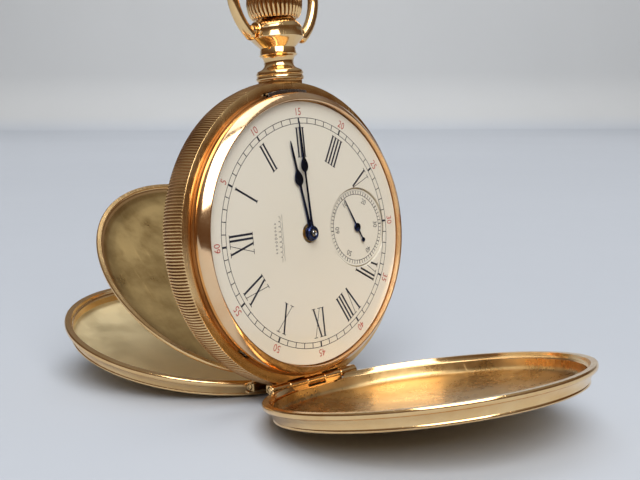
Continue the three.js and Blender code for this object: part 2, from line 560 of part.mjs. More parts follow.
// ---------- movement: balance ----------
function balanceWheel() {
  const rim = ring(BALANCE_R - 0.75, BALANCE_R, 0.72, 1.42, 32);
  const arm = box(-BALANCE_R + 0.5, BALANCE_R - 0.5, 0.72, 1.05, -0.5, 0.5);
  const hub = disc(1.1, 0.72, 1.1, 14);
  return cut(join(rim, arm, hub), disc(0.48, 0, 2, 12))
    .translate(TRAIN.balance[0], 0, TRAIN.balance[1]);
}
add('balance_wheel', balanceWheel(), GILT);
add('balance_staff', join(disc(0.4, -1.9, 1.95, 12, TRAIN.balance),
  disc(0.12, 1.9, 2.9, 8, TRAIN.balance)), STEEL);
add('roller', ring(0.46, 0.95, -1.3, -0.8, 14, TRAIN.balance), STEEL);
add('hairspring', spiral(0.9, 4.2, 4, 0.14, 1.6, 1.8, 12)
  .translate(TRAIN.balance[0], 0, TRAIN.balance[1]), BLUED);
const regulatorShape = polygon([[1.75, -0.5], [5.6, -0.25], [6.3, 0], [5.6, 0.25], [1.75, 0.5]]);
const regulatorRing = ring(1.15, 1.85, 3.16, 3.42, 20);
add('regulator', join(regulatorRing, plate(regulatorShape, 3.16, 3.42)).rotateY(-235 * DEG)
  .translate(TRAIN.balance[0], 0, TRAIN.balance[1]), STEEL);

// ---------- movement: winding ----------
const RATCHET_V = [3.06, 3.6];
const crownPitch = 4.8;
const ratchetPitch = distance(TRAIN.barrel, TRAIN.crownWheel) - crownPitch;
const ratchetMesh = bearing(TRAIN.barrel, TRAIN.crownWheel);
add('ratchet_wheel', gear(54, ratchetPitch, ...RATCHET_V, TRAIN.barrel,
  { mesh: ratchetMesh, bore: 0.75 }), STEEL);
const crownTeeth = ring(3.35, 4.4, 1.96, 2.5, 20);
add('crown_wheel', join(
  gear(36, crownPitch, ...RATCHET_V, origin, { mesh: ratchetMesh + Math.PI, gap: true, bore: 0.75 }),
  join(ring(0.75, 4.4, 2.4, 3.1, 20), crownTeeth))
  .translate(TRAIN.crownWheel[0], 0, TRAIN.crownWheel[1]), STEEL);
const capScrew = (at, from) => cut(
  join(disc(1.6, 3.63, 3.95, 20, at), disc(0.6, from, 3.7, 12, at)),
  box(at[0] - 1.8, at[0] + 1.8, 3.8, 4.2, at[1] - 0.17, at[1] + 0.17));
add('crown_wheel_screw', capScrew(TRAIN.crownWheel, 1.98), BLUED);
add('ratchet_screw', capScrew(TRAIN.barrel, 3.05), BLUED);

const pinionShape = gearShape(16, 1.7, Math.PI / 2);
const square = new THREE.Path();
[0, 1, 2, 3].forEach((i) => {
  const a = i * Math.PI / 2;
  const point = [0.74 * Math.sin(a), 0.74 * Math.cos(a)];
  if (i === 0) square.moveTo(...point);
  else square.lineTo(...point);
});
square.closePath();
pinionShape.holes.push(square);
add('winding_pinion', new THREE.ExtrudeGeometry(pinionShape,
  { depth: 2.4, bevelEnabled: false }).translate(0, 0, 13.6), STEEL);

const CLICK_AT = onCircle(18.4, 176);
const clickOut = bearing(CLICK_AT, TRAIN.barrel);
const clickBody = polygon([[0, 1.1], [1.6, 1.0], [2.2, 0.2], [1.6, -0.8], [0, -1.1], [-1.1, 0]]);
const click = cut(join(plate(clickBody, 3.06, 3.5), disc(1.1, 3.06, 3.5, 16)), disc(0.4, 3, 4, 10));
add('click', click.rotateY(-clickOut - 60 * DEG).translate(CLICK_AT[0], 0, CLICK_AT[1]), STEEL);
add('click_spring', arcPlate(19.9, 20.2, 150, 196, 3.06, 3.4, 10), STEEL);

// ---------- movement: motion work ----------
const cannon = { wheel: 2.4, pinion: 0.8 };
const minuteMesh = bearing(origin, TRAIN.minuteWheel);
add('cannon_pinion', cut(join(
  gear(12, cannon.pinion, -3.0, -2.66, origin, { mesh: minuteMesh }),
  disc(0.49, -5.68, -2.9, 12)), disc(0.3, -3.2, -2.0, 10)), STEEL);
add('minute_wheel', join(
  gear(36, cannon.wheel, -2.96, -2.7, TRAIN.minuteWheel, { mesh: minuteMesh + Math.PI, gap: true }),
  gear(10, 0.64, -3.5, -2.9, TRAIN.minuteWheel, { mesh: minuteMesh + Math.PI, gap: true })), BRASS);
add('hour_wheel', cut(join(
  gear(40, 2.56, -3.46, -3.12, origin, { mesh: minuteMesh }),
  disc(0.9, -5.02, -3.2, 12)), disc(0.6, -6, -3, 10)), BRASS);

// ---------- placing: the origin is under the middle of the box ----------
group.updateMatrixWorld(true);
const extent = new THREE.Box3().setFromObject(group, true);
const middle = extent.getCenter(new THREE.Vector3());
watch.position.set(-middle.x, -middle.y, -extent.min.z);

export default group;
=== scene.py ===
"""Hunter pocket watch, standing open on its lids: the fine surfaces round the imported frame."""
import json
import math
import random

import bmesh
import bpy
from mathutils import Matrix, Vector


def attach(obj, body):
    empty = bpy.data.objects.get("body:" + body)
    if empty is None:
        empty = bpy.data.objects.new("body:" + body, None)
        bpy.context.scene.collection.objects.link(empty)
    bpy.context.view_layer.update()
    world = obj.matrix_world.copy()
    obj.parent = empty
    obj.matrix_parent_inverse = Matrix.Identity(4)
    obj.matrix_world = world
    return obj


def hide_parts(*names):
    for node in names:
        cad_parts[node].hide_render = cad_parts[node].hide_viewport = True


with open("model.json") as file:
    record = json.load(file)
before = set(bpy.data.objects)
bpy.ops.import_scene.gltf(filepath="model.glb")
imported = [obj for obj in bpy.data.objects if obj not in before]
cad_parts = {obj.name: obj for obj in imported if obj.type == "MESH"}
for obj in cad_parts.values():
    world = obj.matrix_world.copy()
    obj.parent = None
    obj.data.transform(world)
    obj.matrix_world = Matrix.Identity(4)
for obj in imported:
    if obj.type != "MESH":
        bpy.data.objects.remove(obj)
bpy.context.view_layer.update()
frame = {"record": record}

MM = 0.001
DEG = math.pi / 180
random.seed(18)

# ---------------------------------------------------------------- places from the frame
joints = {j["name"]: j for j in frame["record"]["behaviour"]["joints"]}
CENTRE = Vector(joints["minute_turn"]["pos_m"])
BACK = Vector(joints["minute_turn"]["axis"]).normalized()
UP = Vector(joints["crown_turn"]["axis"]).normalized()
# Watch coordinates in millimetres: x right, y towards the back, z towards the pendant.
WATCH = Matrix.Translation(CENTRE) @ Matrix(
    ((1, BACK.x, UP.x), (0, BACK.y, UP.y), (0, BACK.z, UP.z))).to_4x4() @ Matrix.Scale(MM, 4)


def watch_place(joint):
    """A joint's place in watch coordinates, in millimetres."""
    return WATCH.inverted() @ Vector(joints[joint]["pos_m"])


def opened(joint, limit):
    """Takes a cover's closed place to its open one, a joint limit away."""
    hinge = watch_place(joint)
    turn = Matrix.Rotation(-joints[joint]["range_deg"][limit] * DEG, 4, "X")
    return WATCH @ Matrix.Translation(hinge) @ turn @ Matrix.Translation(-hinge)


FRONT_LID = opened("front_lid_hinge", 0)
BACK_COVER = opened("back_cover_hinge", 1)
CUVETTE = opened("cuvette_hinge", 1)
FRONT_HINGE = watch_place("front_lid_hinge")
BACK_HINGE = watch_place("back_cover_hinge")

CASE_R = 27.0
BAND_EDGE_R = 26.6
BAND_HALF = 2.42
LID_RIM = 2.55
DIAL_FACE = -4.45
SECONDS_FACE = -4.05
SECONDS_U = watch_place("seconds_turn").x
HINGE_HALF = 10.6
PIVOT_W = watch_place("bow_swing").z
RING = 256


# ---------------------------------------------------------------- materials
class Nodes:
    """Builds a node tree."""

    def __init__(self, tree):
        self.tree = tree
        tree.nodes.clear()

    def link(self, a, b):
        self.tree.links.new(a, b)

    def add(self, kind, **values):
        node = self.tree.nodes.new("ShaderNode" + kind)
        for key, value in values.items():
            node.inputs[key.replace("_", " ")].default_value = value
        return node

    def fed(self, source, kind, **values):
        """The result of a node whose first input comes from a source."""
        node = self.add(kind, **values)
        self.link(source, node.inputs[0])
        return node.outputs[0]

    def feed(self, sockets, values):
        """Links each socket to a source, or sets it to a number or a colour."""
        for socket, value in zip(sockets, values):
            if isinstance(value, bpy.types.NodeSocket):
                self.link(value, socket)
            else:
                socket.default_value = (*value, 1.0) if isinstance(value, tuple) else value

    def ramp(self, value, stops):
        node = self.add("ValToRGB")
        elements = node.color_ramp.elements
        while len(elements) < len(stops):
            elements.new(0.5)
        for element, (position, colour) in zip(elements, stops):
            element.position = position
            element.color = (*colour, 1.0)
        self.link(value, node.inputs[0])
        return node.outputs[0]

    def remap(self, value, low, high, from_low=0.3, from_high=0.7):
        return self.fed(value, "MapRange", From_Min=from_low, From_Max=from_high, To_Min=low,
                        To_Max=high)

    def math(self, operation, a, b):
        node = self.add("Math")
        node.operation = operation
        self.feed(node.inputs, (a, b))
        return node.outputs[0]

    def height(self, source):
        """The z of a position."""
        node = self.add("SeparateXYZ")
        self.link(source, node.inputs[0])
        return node.outputs["Z"]


class Surface(Nodes):
    """Builds one procedural material round a Principled shader."""

    def __init__(self, name):
        self.material = bpy.data.materials.new(name)
        self.material.use_nodes = True
        super().__init__(self.material.node_tree)
        self.shader = self.add("BsdfPrincipled")
        self.link(self.shader.outputs[0], self.add("OutputMaterial").inputs["Surface"])
        self.coords = self.add("TexCoord").outputs["Object"]

    def noise(self, scale, detail=4.0, roughness=0.55):
        return self.fed(self.coords, "TexNoise", Scale=scale, Detail=detail, Roughness=roughness)

    def mix(self, factor, a, b):
        node = self.add("Mix")
        node.data_type = "RGBA"
        self.link(factor, node.inputs["Factor"])
        self.feed((node.inputs["A"], node.inputs["B"]), (a, b))
        return node.outputs["Result"]

    def bump(self, height, strength, distance):
        node = self.add("Bump", Strength=strength, Distance=distance)
        self.link(height, node.inputs["Height"])
        self.link(node.outputs[0], self.shader.inputs["Normal"])

    def scratches(self):
        """Thin lines in three directions, 0 to 1."""
        total = None
        for angle, scale in ((0.3, 420.0), (1.4, 520.0), (2.3, 380.0)):
            turned = self.fed(self.coords, "Mapping", Rotation=(angle, angle * 1.7, angle * 0.6),
                              Scale=(scale, 14.0, 14.0))
            line = self.remap(self.fed(turned, "TexNoise", Scale=9.0, Detail=2.0), 0.0, 1.0, 0.66, 0.74)
            total = line if total is None else self.math("MAXIMUM", total, line)
        return total

    def finished(self, colour, roughness, **values):
        self.feed((self.shader.inputs["Base Color"], self.shader.inputs["Roughness"]),
                  (colour, roughness))
        for key, value in values.items():
            self.shader.inputs[key.replace("_", " ")].default_value = value
        return self.material


def metal(name, light, dark, roughness, wear=0.5, bump=0.25, waves=0.0):
    """A metal with patches of tarnish, fine scratches, a little unevenness and slow waves."""
    n = Surface(name)
    patches = n.noise(170.0, 5.0, 0.6)
    fine = n.noise(1500.0, 3.0, 0.6)
    scratched = n.scratches()
    tone = n.ramp(patches, [(0.32, dark), (0.62, light)])
    worn = n.mix(n.math("MULTIPLY", scratched, 0.35 * wear), tone, tuple(min(1, c * 1.12) for c in light))
    rough = n.math("ADD", n.remap(patches, roughness * 0.8, roughness * 1.25),
                   n.math("MULTIPLY", scratched, 0.12 * wear))
    height = n.math("SUBTRACT", n.math("MULTIPLY", fine, 0.35), n.math("MULTIPLY", scratched, 0.8))
    if waves:
        height = n.math("ADD", height, n.math("MULTIPLY", n.noise(95.0, 1.0), waves))
    n.bump(height, bump, 0.00002)
    return n.finished(worn, n.math("ADD", rough, n.remap(fine, -0.02, 0.03)), Metallic=1.0)


gold = metal("polished_gold", (0.92, 0.64, 0.32), (0.84, 0.53, 0.23), 0.13)
gold_rose = metal("bezel_gold", (0.92, 0.63, 0.37), (0.85, 0.53, 0.28), 0.11)
# Darker copy of the gold for the front lid's floor and inner wall: painted shade that dims the reflections
# in the hollow.
gold_inner_shaded = metal("inner_gold_painted_shade", (0.68, 0.47, 0.22), (0.44, 0.26, 0.09), 0.27, 1.0, 0.5, 30.0)
gold_matte = metal("matte_gold", (0.96, 0.84, 0.55), (0.90, 0.76, 0.45), 0.5, 1.0)
# Darker copy of the gold for the cuvette's hollow: painted shade for the dark room it reflects.
gold_cuvette_shaded = metal("cuvette_gold_painted_shade", (0.60, 0.43, 0.19), (0.42, 0.27, 0.10), 0.33, 1.0)
# Darker copy of the gold for the fluted case band: painted shade for the dark room it reflects.
gold_band_shaded = metal("band_gold_painted_shade", (0.90, 0.61, 0.29), (0.72, 0.42, 0.16), 0.2)
# Much darker gold laid into grooves, valleys and gaps: painted shade in the creases.
gold_painted_shade = metal("painted_shade_gold", (0.42, 0.20, 0.07), (0.24, 0.10, 0.03), 0.38)
steel = metal("polished_steel", (0.62, 0.62, 0.63), (0.45, 0.45, 0.46), 0.2)
catch_steel = metal("catch_steel", (0.38, 0.38, 0.40), (0.22, 0.22, 0.24), 0.25)
gilt = metal("gilt_plate", (0.86, 0.66, 0.36), (0.78, 0.57, 0.28), 0.38, bump=0.5)
brass = metal("wheel_brass", (0.82, 0.62, 0.30), (0.68, 0.48, 0.20), 0.3)
blued = metal("blued_steel", (0.030, 0.045, 0.13), (0.012, 0.016, 0.05), 0.2)
spring_blue = metal("spring_blue", (0.04, 0.07, 0.25), (0.02, 0.03, 0.12), 0.25)


def enamel_material():
    """White enamel, slightly clouded, with a few dark specks."""
    n = Surface("fired_enamel")
    cloud = n.noise(45.0, 4.0, 0.5)
    specks = n.noise(2600.0, 2.0, 0.5)
    base = n.ramp(cloud, [(0.3, (0.93, 0.885, 0.76)), (0.7, (0.95, 0.905, 0.79))])
    spot = n.math("MULTIPLY", n.remap(specks, 0.0, 1.0, 0.72, 0.80), 0.25)
    n.bump(n.noise(120.0, 2.0), 0.08, 0.00003)
    return n.finished(n.mix(spot, base, (0.45, 0.40, 0.30)), n.remap(cloud, 0.10, 0.16),
                      Coat_Weight=0.4, Coat_Roughness=0.04, IOR=1.5)


def mottled(name, dark, light, scale, start, rough, **values):
    """Two tones of one colour; rough is a noise scale with the least and most roughness."""
    n = Surface(name)
    tone = n.ramp(n.noise(scale, 3.0), [(start, dark), (0.7, light)])
    return n.finished(tone, n.remap(n.noise(rough[0], 2.0), *rough[1:]), **values)


def glass_material():
    n = Surface("crystal_glass")
    return n.finished((0.02, 0.02, 0.02), n.remap(n.noise(300.0, 3.0), 0.01, 0.035), IOR=1.5, Alpha=0.08)


def bridge_material():
    """Gilt plate with fine curved stripes, as from a rose engine."""
    n = Surface("striped_gilt")
    wave = n.add("TexWave", Scale=190.0, Distortion=1.2, Detail=1.0)
    wave.wave_type = "BANDS"
    wave.bands_direction = "DIAGONAL"
    n.link(n.coords, wave.inputs["Vector"])
    fine = n.noise(1900.0, 3.0)
    stripe = wave.outputs["Fac"]
    tone = n.ramp(stripe, [(0.25, (0.74, 0.53, 0.26)), (0.75, (0.88, 0.68, 0.38))])
    n.bump(stripe, 0.35, 0.00003)
    return n.finished(tone, n.math("ADD", n.remap(stripe, 0.24, 0.42, 0.2, 0.8),
                                   n.remap(fine, -0.03, 0.04)), Metallic=1.0)


def turned_material():
    """Steel ground in fine rings."""
    n = Surface("turned_steel")
    fine = n.noise(2600.0, 3.0, 0.6)
    broad = n.noise(260.0, 3.0)
    tone = n.ramp(broad, [(0.3, (0.50, 0.50, 0.51)), (0.7, (0.68, 0.68, 0.69))])
    n.bump(fine, 0.3, 0.00002)
    return n.finished(tone, n.math("ADD", n.remap(broad, 0.2, 0.3), n.remap(fine, -0.04, 0.05)),
                      Metallic=1.0)


INK_ROUGH = (900.0, 0.28, 0.4)
enamel = enamel_material()
ink_black = mottled("numeral_ink", (0.008, 0.010, 0.022), (0.018, 0.022, 0.045), 1800.0, 0.35, INK_ROUGH)
ink_red = mottled("red_ink", (0.50, 0.06, 0.045), (0.60, 0.085, 0.06), 1800.0, 0.35, INK_ROUGH)
glass = glass_material()
ruby = mottled("ruby_jewel", (0.30, 0.008, 0.03), (0.50, 0.02, 0.07), 900.0, 0.3, (500.0, 0.05, 0.1),
               Coat_Weight=0.6)
bridge_gilt = bridge_material()
steel_turned = turned_material()


# ---------------------------------------------------------------- mesh tools
def linked(name, data):
    obj = bpy.data.objects.new(name, data)
    bpy.context.scene.collection.objects.link(obj)
    return obj


def shade(mesh, sharp=38.0, weld=False):
    """Smooth faces, with creases where the surface turns by more than the sharp angle."""
    bm = bmesh.new()
    bm.from_mesh(mesh)
    if weld:
        bmesh.ops.remove_doubles(bm, verts=bm.verts, dist=1e-8)
        bmesh.ops.recalc_face_normals(bm, faces=bm.faces)
    for face in bm.faces:
        face.smooth = True
    for edge in bm.edges:
        edge.smooth = not (len(edge.link_faces) == 2 and edge.calc_face_angle(0.0) > sharp * DEG)
    bm.to_mesh(mesh)
    bm.free()


def mesh_object(name, verts, faces, place, material, sharp=38.0):
    mesh = bpy.data.meshes.new(name)
    mesh.from_pydata([place @ Vector(v) for v in verts], [], faces)
    shade(mesh, sharp, weld=True)
    mesh.materials.append(material)
    return linked(name, mesh)


def rounded(points, radius=0.1, steps=3, closed=True):
    """The outline with each corner replaced by a short curve."""
    count = len(points)
    result = []
    for i, point in enumerate(points):
        if not closed and i in (0, count - 1):
            result.append(tuple(point))
            continue
        p = Vector(point)
        before = Vector(points[i - 1]) - p
        after = Vector(points[(i + 1) % count]) - p
        size = min(radius, before.length * 0.45, after.length * 0.45)
        a = p + before.normalized() * size
        b = p + after.normalized() * size
        for k in range(steps + 1):
            t = k / steps
            result.append(tuple(a * (1 - t) ** 2 + p * 2 * t * (1 - t) + b * t ** 2))
    return result


def lathe_data(profile, segments, upward=False, wave=None):
    """Vertices and faces of a profile of (radius, height) turned about y, or about z if upward."""
    verts, faces, rings = [], [], []
    for r, h in profile:
        if r < 1e-6:
            rings.append([len(verts)])
            verts.append((0, 0, h) if upward else (0, h, 0))
            continue
        start = len(verts)
        for i in range(segments):
            a = 2 * math.pi * i / segments
            rr = r if wave is None else wave(r, h, a)
            x, y = rr * math.cos(a), rr * math.sin(a)
            verts.append((x, y, h) if upward else (x, h, y))
        rings.append(list(range(start, start + segments)))
    closed = profile[0][0] > 1e-6 or profile[-1][0] > 1e-6
    pairs = list(zip(rings, rings[1:])) + ([(rings[-1], rings[0])] if closed else [])
    for a, b in pairs:
        if len(a) == len(b) == 1:
            continue
        for i in range(segments):
            j = (i + 1) % segments
            if len(a) == 1:
                faces.append((a[0], b[i], b[j]))
            elif len(b) == 1:
                faces.append((a[i], b[0], a[j]))
            else:
                faces.append((a[i], b[i], b[j], a[j]))
    return verts, faces


def lathe(name, profile, segments, material, place=WATCH, upward=False, wave=None, sharp=38.0):
    return mesh_object(name, *lathe_data(profile, segments, upward, wave), place, material, sharp)


def along_x(profile, segments, v, w, side=1):
    """A profile of (radius, x) turned about the line y = v, z = w."""
    verts, faces = lathe_data(profile, segments)
    return [(b * side, a + v, c + w) for a, b, c in verts], faces


def tube_data(points, radius, sides=16):
    """A round tube along points; radius may be a function of the place along it, 0 to 1."""
    verts, faces = [], []
    pts = [Vector(p) for p in points]
    n = len(pts)
    normal = None
    for i, p in enumerate(pts):
        ahead = (pts[min(i + 1, n - 1)] - pts[max(i - 1, 0)]).normalized()
        if normal is None:
            normal = ahead.orthogonal().normalized()
        normal = (normal - ahead * normal.dot(ahead)).normalized()
        side = ahead.cross(normal)
        r = radius(i / (n - 1)) if callable(radius) else radius
        for k in range(sides):
            a = 2 * math.pi * k / sides
            verts.append(tuple(p + (normal * math.cos(a) + side * math.sin(a)) * r))
    for i in range(n - 1):
        for k in range(sides):
            a, b = i * sides + k, i * sides + (k + 1) % sides
            faces.append((a, b, b + sides, a + sides))
    faces.append(tuple(range(sides)))
    faces.append(tuple(reversed(range((n - 1) * sides, n * sides))))
    return verts, faces


def prism_data(outline, v0, v1, holes=()):
    """An outline in x-z, filled between y = v0 and y = v1, with holes."""
    bm = bmesh.new()
    loops = []
    for loop in [outline, *holes]:
        ring = [bm.verts.new((u, v0, w)) for u, w in loop]
        loops.append(ring)
        for i, vert in enumerate(ring):
            bm.edges.new((vert, ring[(i + 1) % len(ring)]))
    bmesh.ops.triangle_fill(bm, use_beauty=True, edges=list(bm.edges))
    base = list(bm.faces)
    made = bmesh.ops.extrude_face_region(bm, geom=base)
    moved = [e for e in made["geom"] if isinstance(e, bmesh.types.BMVert)]
    bmesh.ops.translate(bm, verts=moved, vec=(0, v1 - v0, 0))
    bm.verts.index_update()
    verts = [tuple(v.co) for v in bm.verts]
    faces = [tuple(v.index for v in f.verts) for f in bm.faces]
    bm.free()
    return verts, faces


def merged(*data):
    verts, faces = [], []
    for more_verts, more_faces in data:
        start = len(verts)
        verts.extend(more_verts)
        faces.extend(tuple(i + start for i in face) for face in more_faces)
    return verts, faces


def moved(data, offset=(0, 0, 0), turn=None):
    """The same mesh data, turned about y by an angle and then shifted."""
    verts, faces = data
    spin = Matrix.Rotation(turn or 0.0, 3, "Y")
    return [tuple(spin @ Vector(v) + Vector(offset)) for v in verts], faces


def circle(r, count=48, centre=(0, 0)):
    return [(centre[0] + r * math.cos(2 * math.pi * i / count),
             centre[1] + r * math.sin(2 * math.pi * i / count)) for i in range(count)]


def on_circle(r, angle):
    return r * math.cos(angle * DEG), r * math.sin(angle * DEG)


def arc_points(r, start, end, n):
    return [on_circle(r, start + (end - start) * i / n) for i in range(n + 1)]


def arc_outline(r0, r1, start, end, steps=40):
    return arc_points(r1, start, end, steps) + arc_points(r0, end, start, steps)


def box_data(x0, x1, v0, v1, w0, w1):
    corners = [(x, v, w) for x in (x0, x1) for v in (v0, v1) for w in (w0, w1)]
    return corners, [(0, 1, 3, 2), (4, 6, 7, 5), (0, 4, 5, 1), (2, 3, 7, 6), (0, 2, 6, 4), (1, 5, 7, 3)]


def rod_data(r, x0, x1, v, w, sides=32):
    return tube_data([(x0, v, w), (x1, v, w)], r, sides)


def bevelled(obj, width_mm, segments):
    modifier = obj.modifiers.new("edge", "BEVEL")
    modifier.width = width_mm * MM
    modifier.segments = segments
    modifier.limit_method = "ANGLE"
    modifier.angle_limit = 35 * DEG
    modifier.harden_normals = True


def cut(obj, data, operation="DIFFERENCE", place=WATCH):
    """An exact boolean with a solid, applied to the mesh."""
    tool = mesh_object("cutter", *data, place, gold)
    modifier = obj.modifiers.new("cut", "BOOLEAN")
    modifier.object = tool
    modifier.operation = operation
    modifier.solver = "EXACT"
    depsgraph = bpy.context.evaluated_depsgraph_get()
    result = bpy.data.meshes.new_from_object(obj.evaluated_get(depsgraph))
    obj.modifiers.clear()
    obj.data = result
    bpy.data.objects.remove(tool)


def paint(obj, material, within, place=WATCH):
    """Faces that a test of centre and normal picks take a second material."""
    obj.data.materials.append(material)
    home = place.inverted()
    for face in obj.data.polygons:
        if within(home @ face.center, (home.to_3x3() @ face.normal).normalized()):
            face.material_index = 1


def place_piece(obj, body, slot, *nodes):
    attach(obj, body)
    if nodes:
        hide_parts(*nodes)
    return obj


def piece(name, data, material, body, slot, *nodes, place=WATCH, sharp=38.0, bevel=0.0, segments=2):
    """A finished piece from mesh data."""
    obj = mesh_object(name, *data, place, material, sharp)
    if bevel:
        bevelled(obj, bevel, segments)
    place_piece(obj, body, slot, *nodes)


# ---------------------------------------------------------------- hinges
KNUCKLE_GAP = 0.06
KNUCKLE_R = 0.8
PIN_R = 0.42
WELL_R = 1.02


def spans(count, chosen):
    step = 2 * HINGE_HALF / count
    return [(-HINGE_HALF + i * step + KNUCKLE_GAP, -HINGE_HALF + (i + 1) * step - KNUCKLE_GAP)
            for i in chosen]


FRONT_CASE, FRONT_LEAVES = spans(5, (0, 2, 4)), spans(5, (1, 3))
BACK_CASE, BACK_LEAVES = spans(7, (0, 3, 6)), spans(7, (1, 5))
CUVETTE_LEAVES = spans(7, (2, 4))


def knuckles(chosen, hinge):
    """Short hollow rollers on the hinge line, with softened ends."""
    r, bore, soft = KNUCKLE_R, 0.5, 0.09
    return [along_x([(bore, a), (r - soft, a), (r, a + soft), (r, b - soft), (r - soft, b), (bore, b)],
                    40, hinge.y, hinge.z) for a, b in chosen]


def build_hinge_pins():
    soft, half = 0.12, HINGE_HALF
    profile = [(0, -half), (PIN_R - soft, -half), (PIN_R, -half + soft), (PIN_R, half - soft),
               (PIN_R - soft, half), (0, half)]
    for name, hinge in (("front_hinge_pin", FRONT_HINGE), ("back_hinge_pin", BACK_HINGE)):
        piece(name + "_rod", along_x(profile, 32, hinge.y, hinge.z), gold, "case", "gold_case", name)


# ---------------------------------------------------------------- case, bezel, crystal
FLUTES = 310
FLUTE_DEPTH = 0.15
# Slots for the two case springs, in degrees round the dial with the pendant at 90.
CATCH_SLOT = (82.2, 105.4)
LIFT_SLOT = (226, 232)


def coin_edge(r, h, a):
    """The band's radius: fine flutes over its middle."""
    if r < BAND_EDGE_R - 0.3 or abs(h) > BAND_HALF:
        return r
    fade = min(1.0, (BAND_HALF - abs(h)) / 0.12)
    return r - FLUTE_DEPTH * fade * (1 - abs(math.sin(FLUTES * a / 2))) ** 1.5


def build_case():
    steps = 9
    band = [(BAND_EDGE_R + (CASE_R - BAND_EDGE_R) * math.cos(math.pi / 2 * t), BAND_HALF * t)
            for t in [i / steps for i in range(-steps, steps + 1)]]
    ledges = [(22.7, -3.7), (24.3, -3.7), (24.3, -2.5), (25.1, -2.5), (26.5, -2.48)]
    behind = [(26.5, 2.48), (25.1, 2.5), (23.55, 2.45), (23.55, 2.85), (22.7, 2.85), (22.7, 0),
              (24.4, 0), (24.4, -2.0), (22.7, -2.0)]
    front = rounded(ledges, 0.08, 2, closed=False)
    back = rounded(behind, 0.08, 2, closed=False)
    segments = FLUTES * 4
    case = lathe("case_ring", front + band + back, segments, gold_band_shaded, wave=coin_edge)
    wells = [(span, FRONT_HINGE) for span in FRONT_LEAVES]
    wells += [(span, BACK_HINGE) for span in BACK_LEAVES + CUVETTE_LEAVES]
    for (a, b), hinge in wells:
        cut(case, rod_data(WELL_R, a - 0.06, b + 0.06, hinge.y, hinge.z, 48))
    cut(case, tube_data([(0, 0, 23.1), (0, 0, 28.4)], 1.95, 48))
    cut(case, tube_data([(0, 0, 20.5), (0, 0, 24)], 1.2, 48))
    cut(case, prism_data(arc_outline(23.95, 25.4, *CATCH_SLOT), -4.2, -0.95))
    cut(case, prism_data(arc_outline(24.0, 24.9, *LIFT_SLOT, 8), -4.2, -0.95))
    shade(case.data)
    # The flute valleys take the darker gold: painted shade in the creases.
    paint(case, gold_painted_shade, lambda p, n: abs(p.y) < BAND_HALF - 0.1
          and math.hypot(p.x, p.z) > BAND_EDGE_R
          and abs(math.sin(FLUTES * math.atan2(p.z, p.x) / 2)) < 0.6)
    place_piece(case, "case", "gold_case", "case_center")
    saddles = merged(
        *[box_data(a, b, -2.6, -1.6, -26.45, -25.2) for a, b in FRONT_CASE],
        *[box_data(a, b, 1.6, 2.8, -26.45, -25.2) for a, b in BACK_CASE],
        *knuckles(FRONT_CASE, FRONT_HINGE), *knuckles(BACK_CASE, BACK_HINGE))
    piece("case_knuckles", saddles, gold, "case", "gold_case")


def build_bezel():
    inner_edge = [(23.17, -4.95), (23.17, -5.45), (23.2, -5.54), (23.28, -5.59), (23.38, -5.59),
                  (23.48, -5.54)]
    flank = [(24.5, -4.46), (24.6, -4.32), (24.66, -4.1), (24.7, -3.5), (24.7, -3.38), (24.62, -3.3)]
    snap = rounded([(24.62, -3.16), (24.93, -3.12), (24.93, -2.55), (24.42, -2.55), (24.42, -3.78),
                    (23.17, -3.78)], 0.06, 2, closed=False)
    bezel = lathe("bezel_ring", inner_edge + flank + snap, RING * 2, gold_rose)
    cut(bezel, prism_data(arc_outline(23.98, 26, *CATCH_SLOT), -3.55, -2.0))
    cut(bezel, prism_data(arc_outline(24.2, 26, *LIFT_SLOT, 8), -3.2, -2.0))
    shade(bezel.data)
    # The bezel's foot ring beside the case takes the darker gold: painted shade for the gap, which also
    # dims its highlights.
    paint(bezel, gold_painted_shade, lambda p, n: math.hypot(p.x, p.z) > 24.55 and -3.4 < p.y < -2.5)
    place_piece(bezel, "case", "gold_case", "bezel")


def build_crystal():
    outer = [(23.1, -5.0), (22.9, -5.2), (22.4, -5.42), (21.6, -5.62), (19.5, -5.85), (17, -6.03),
             (14, -6.18), (10, -6.32), (5, -6.42), (0, -6.45)]
    inner = [(r, v + 0.35) for r, v in reversed(outer)]
    piece("crystal_glass", lathe_data(outer + inner, RING), glass, "case", "crystal_glass", "crystal")


# ---------------------------------------------------------------- covers
LID_OUTER = [(26.6, 0), (26.75, 0.2), (26.75, 0.5), (26.68, 0.8), (26.5, 0.98), (26.3, 1.02),
             (26.14, 1.16), (26.0, 1.35), (25.62, 1.75), (25.38, 2.2), (25.22, 2.62), (25.3, 2.78),
             (25.3, 2.95), (25.18, 3.1), (24.95, 3.22), (24.2, 3.36), (22.5, 3.66), (19.5, 4.1),
             (16, 4.45), (13, 4.67), (9, 4.86), (5, 4.95), (2, 4.98), (0, 4.98)]
LID_INNER = [(0, 4.5), (5, 4.46), (9, 4.38), (13, 4.22), (16, 4.03), (19.5, 3.7), (22.3, 3.36),
             (24.0, 3.08), (24.6, 2.9), (24.85, 2.6), (24.95, 2.2), (25.05, 1.55), (25.12, 1.02),
             (25.3, 0.9), (25.42, 0.75), (25.5, 0.4), (25.6, 0)]


def hollow(side, limit):
    """Picks the floor and the wall inside a cover, out to a radius."""
    def within(p, n):
        r = math.hypot(p.x, p.z)
        inward = -(p.x * n.x + p.z * n.z) / max(r, 1.0)
        return r < limit and (n.y * side < -0.3 or inward > 0.3)
    return within


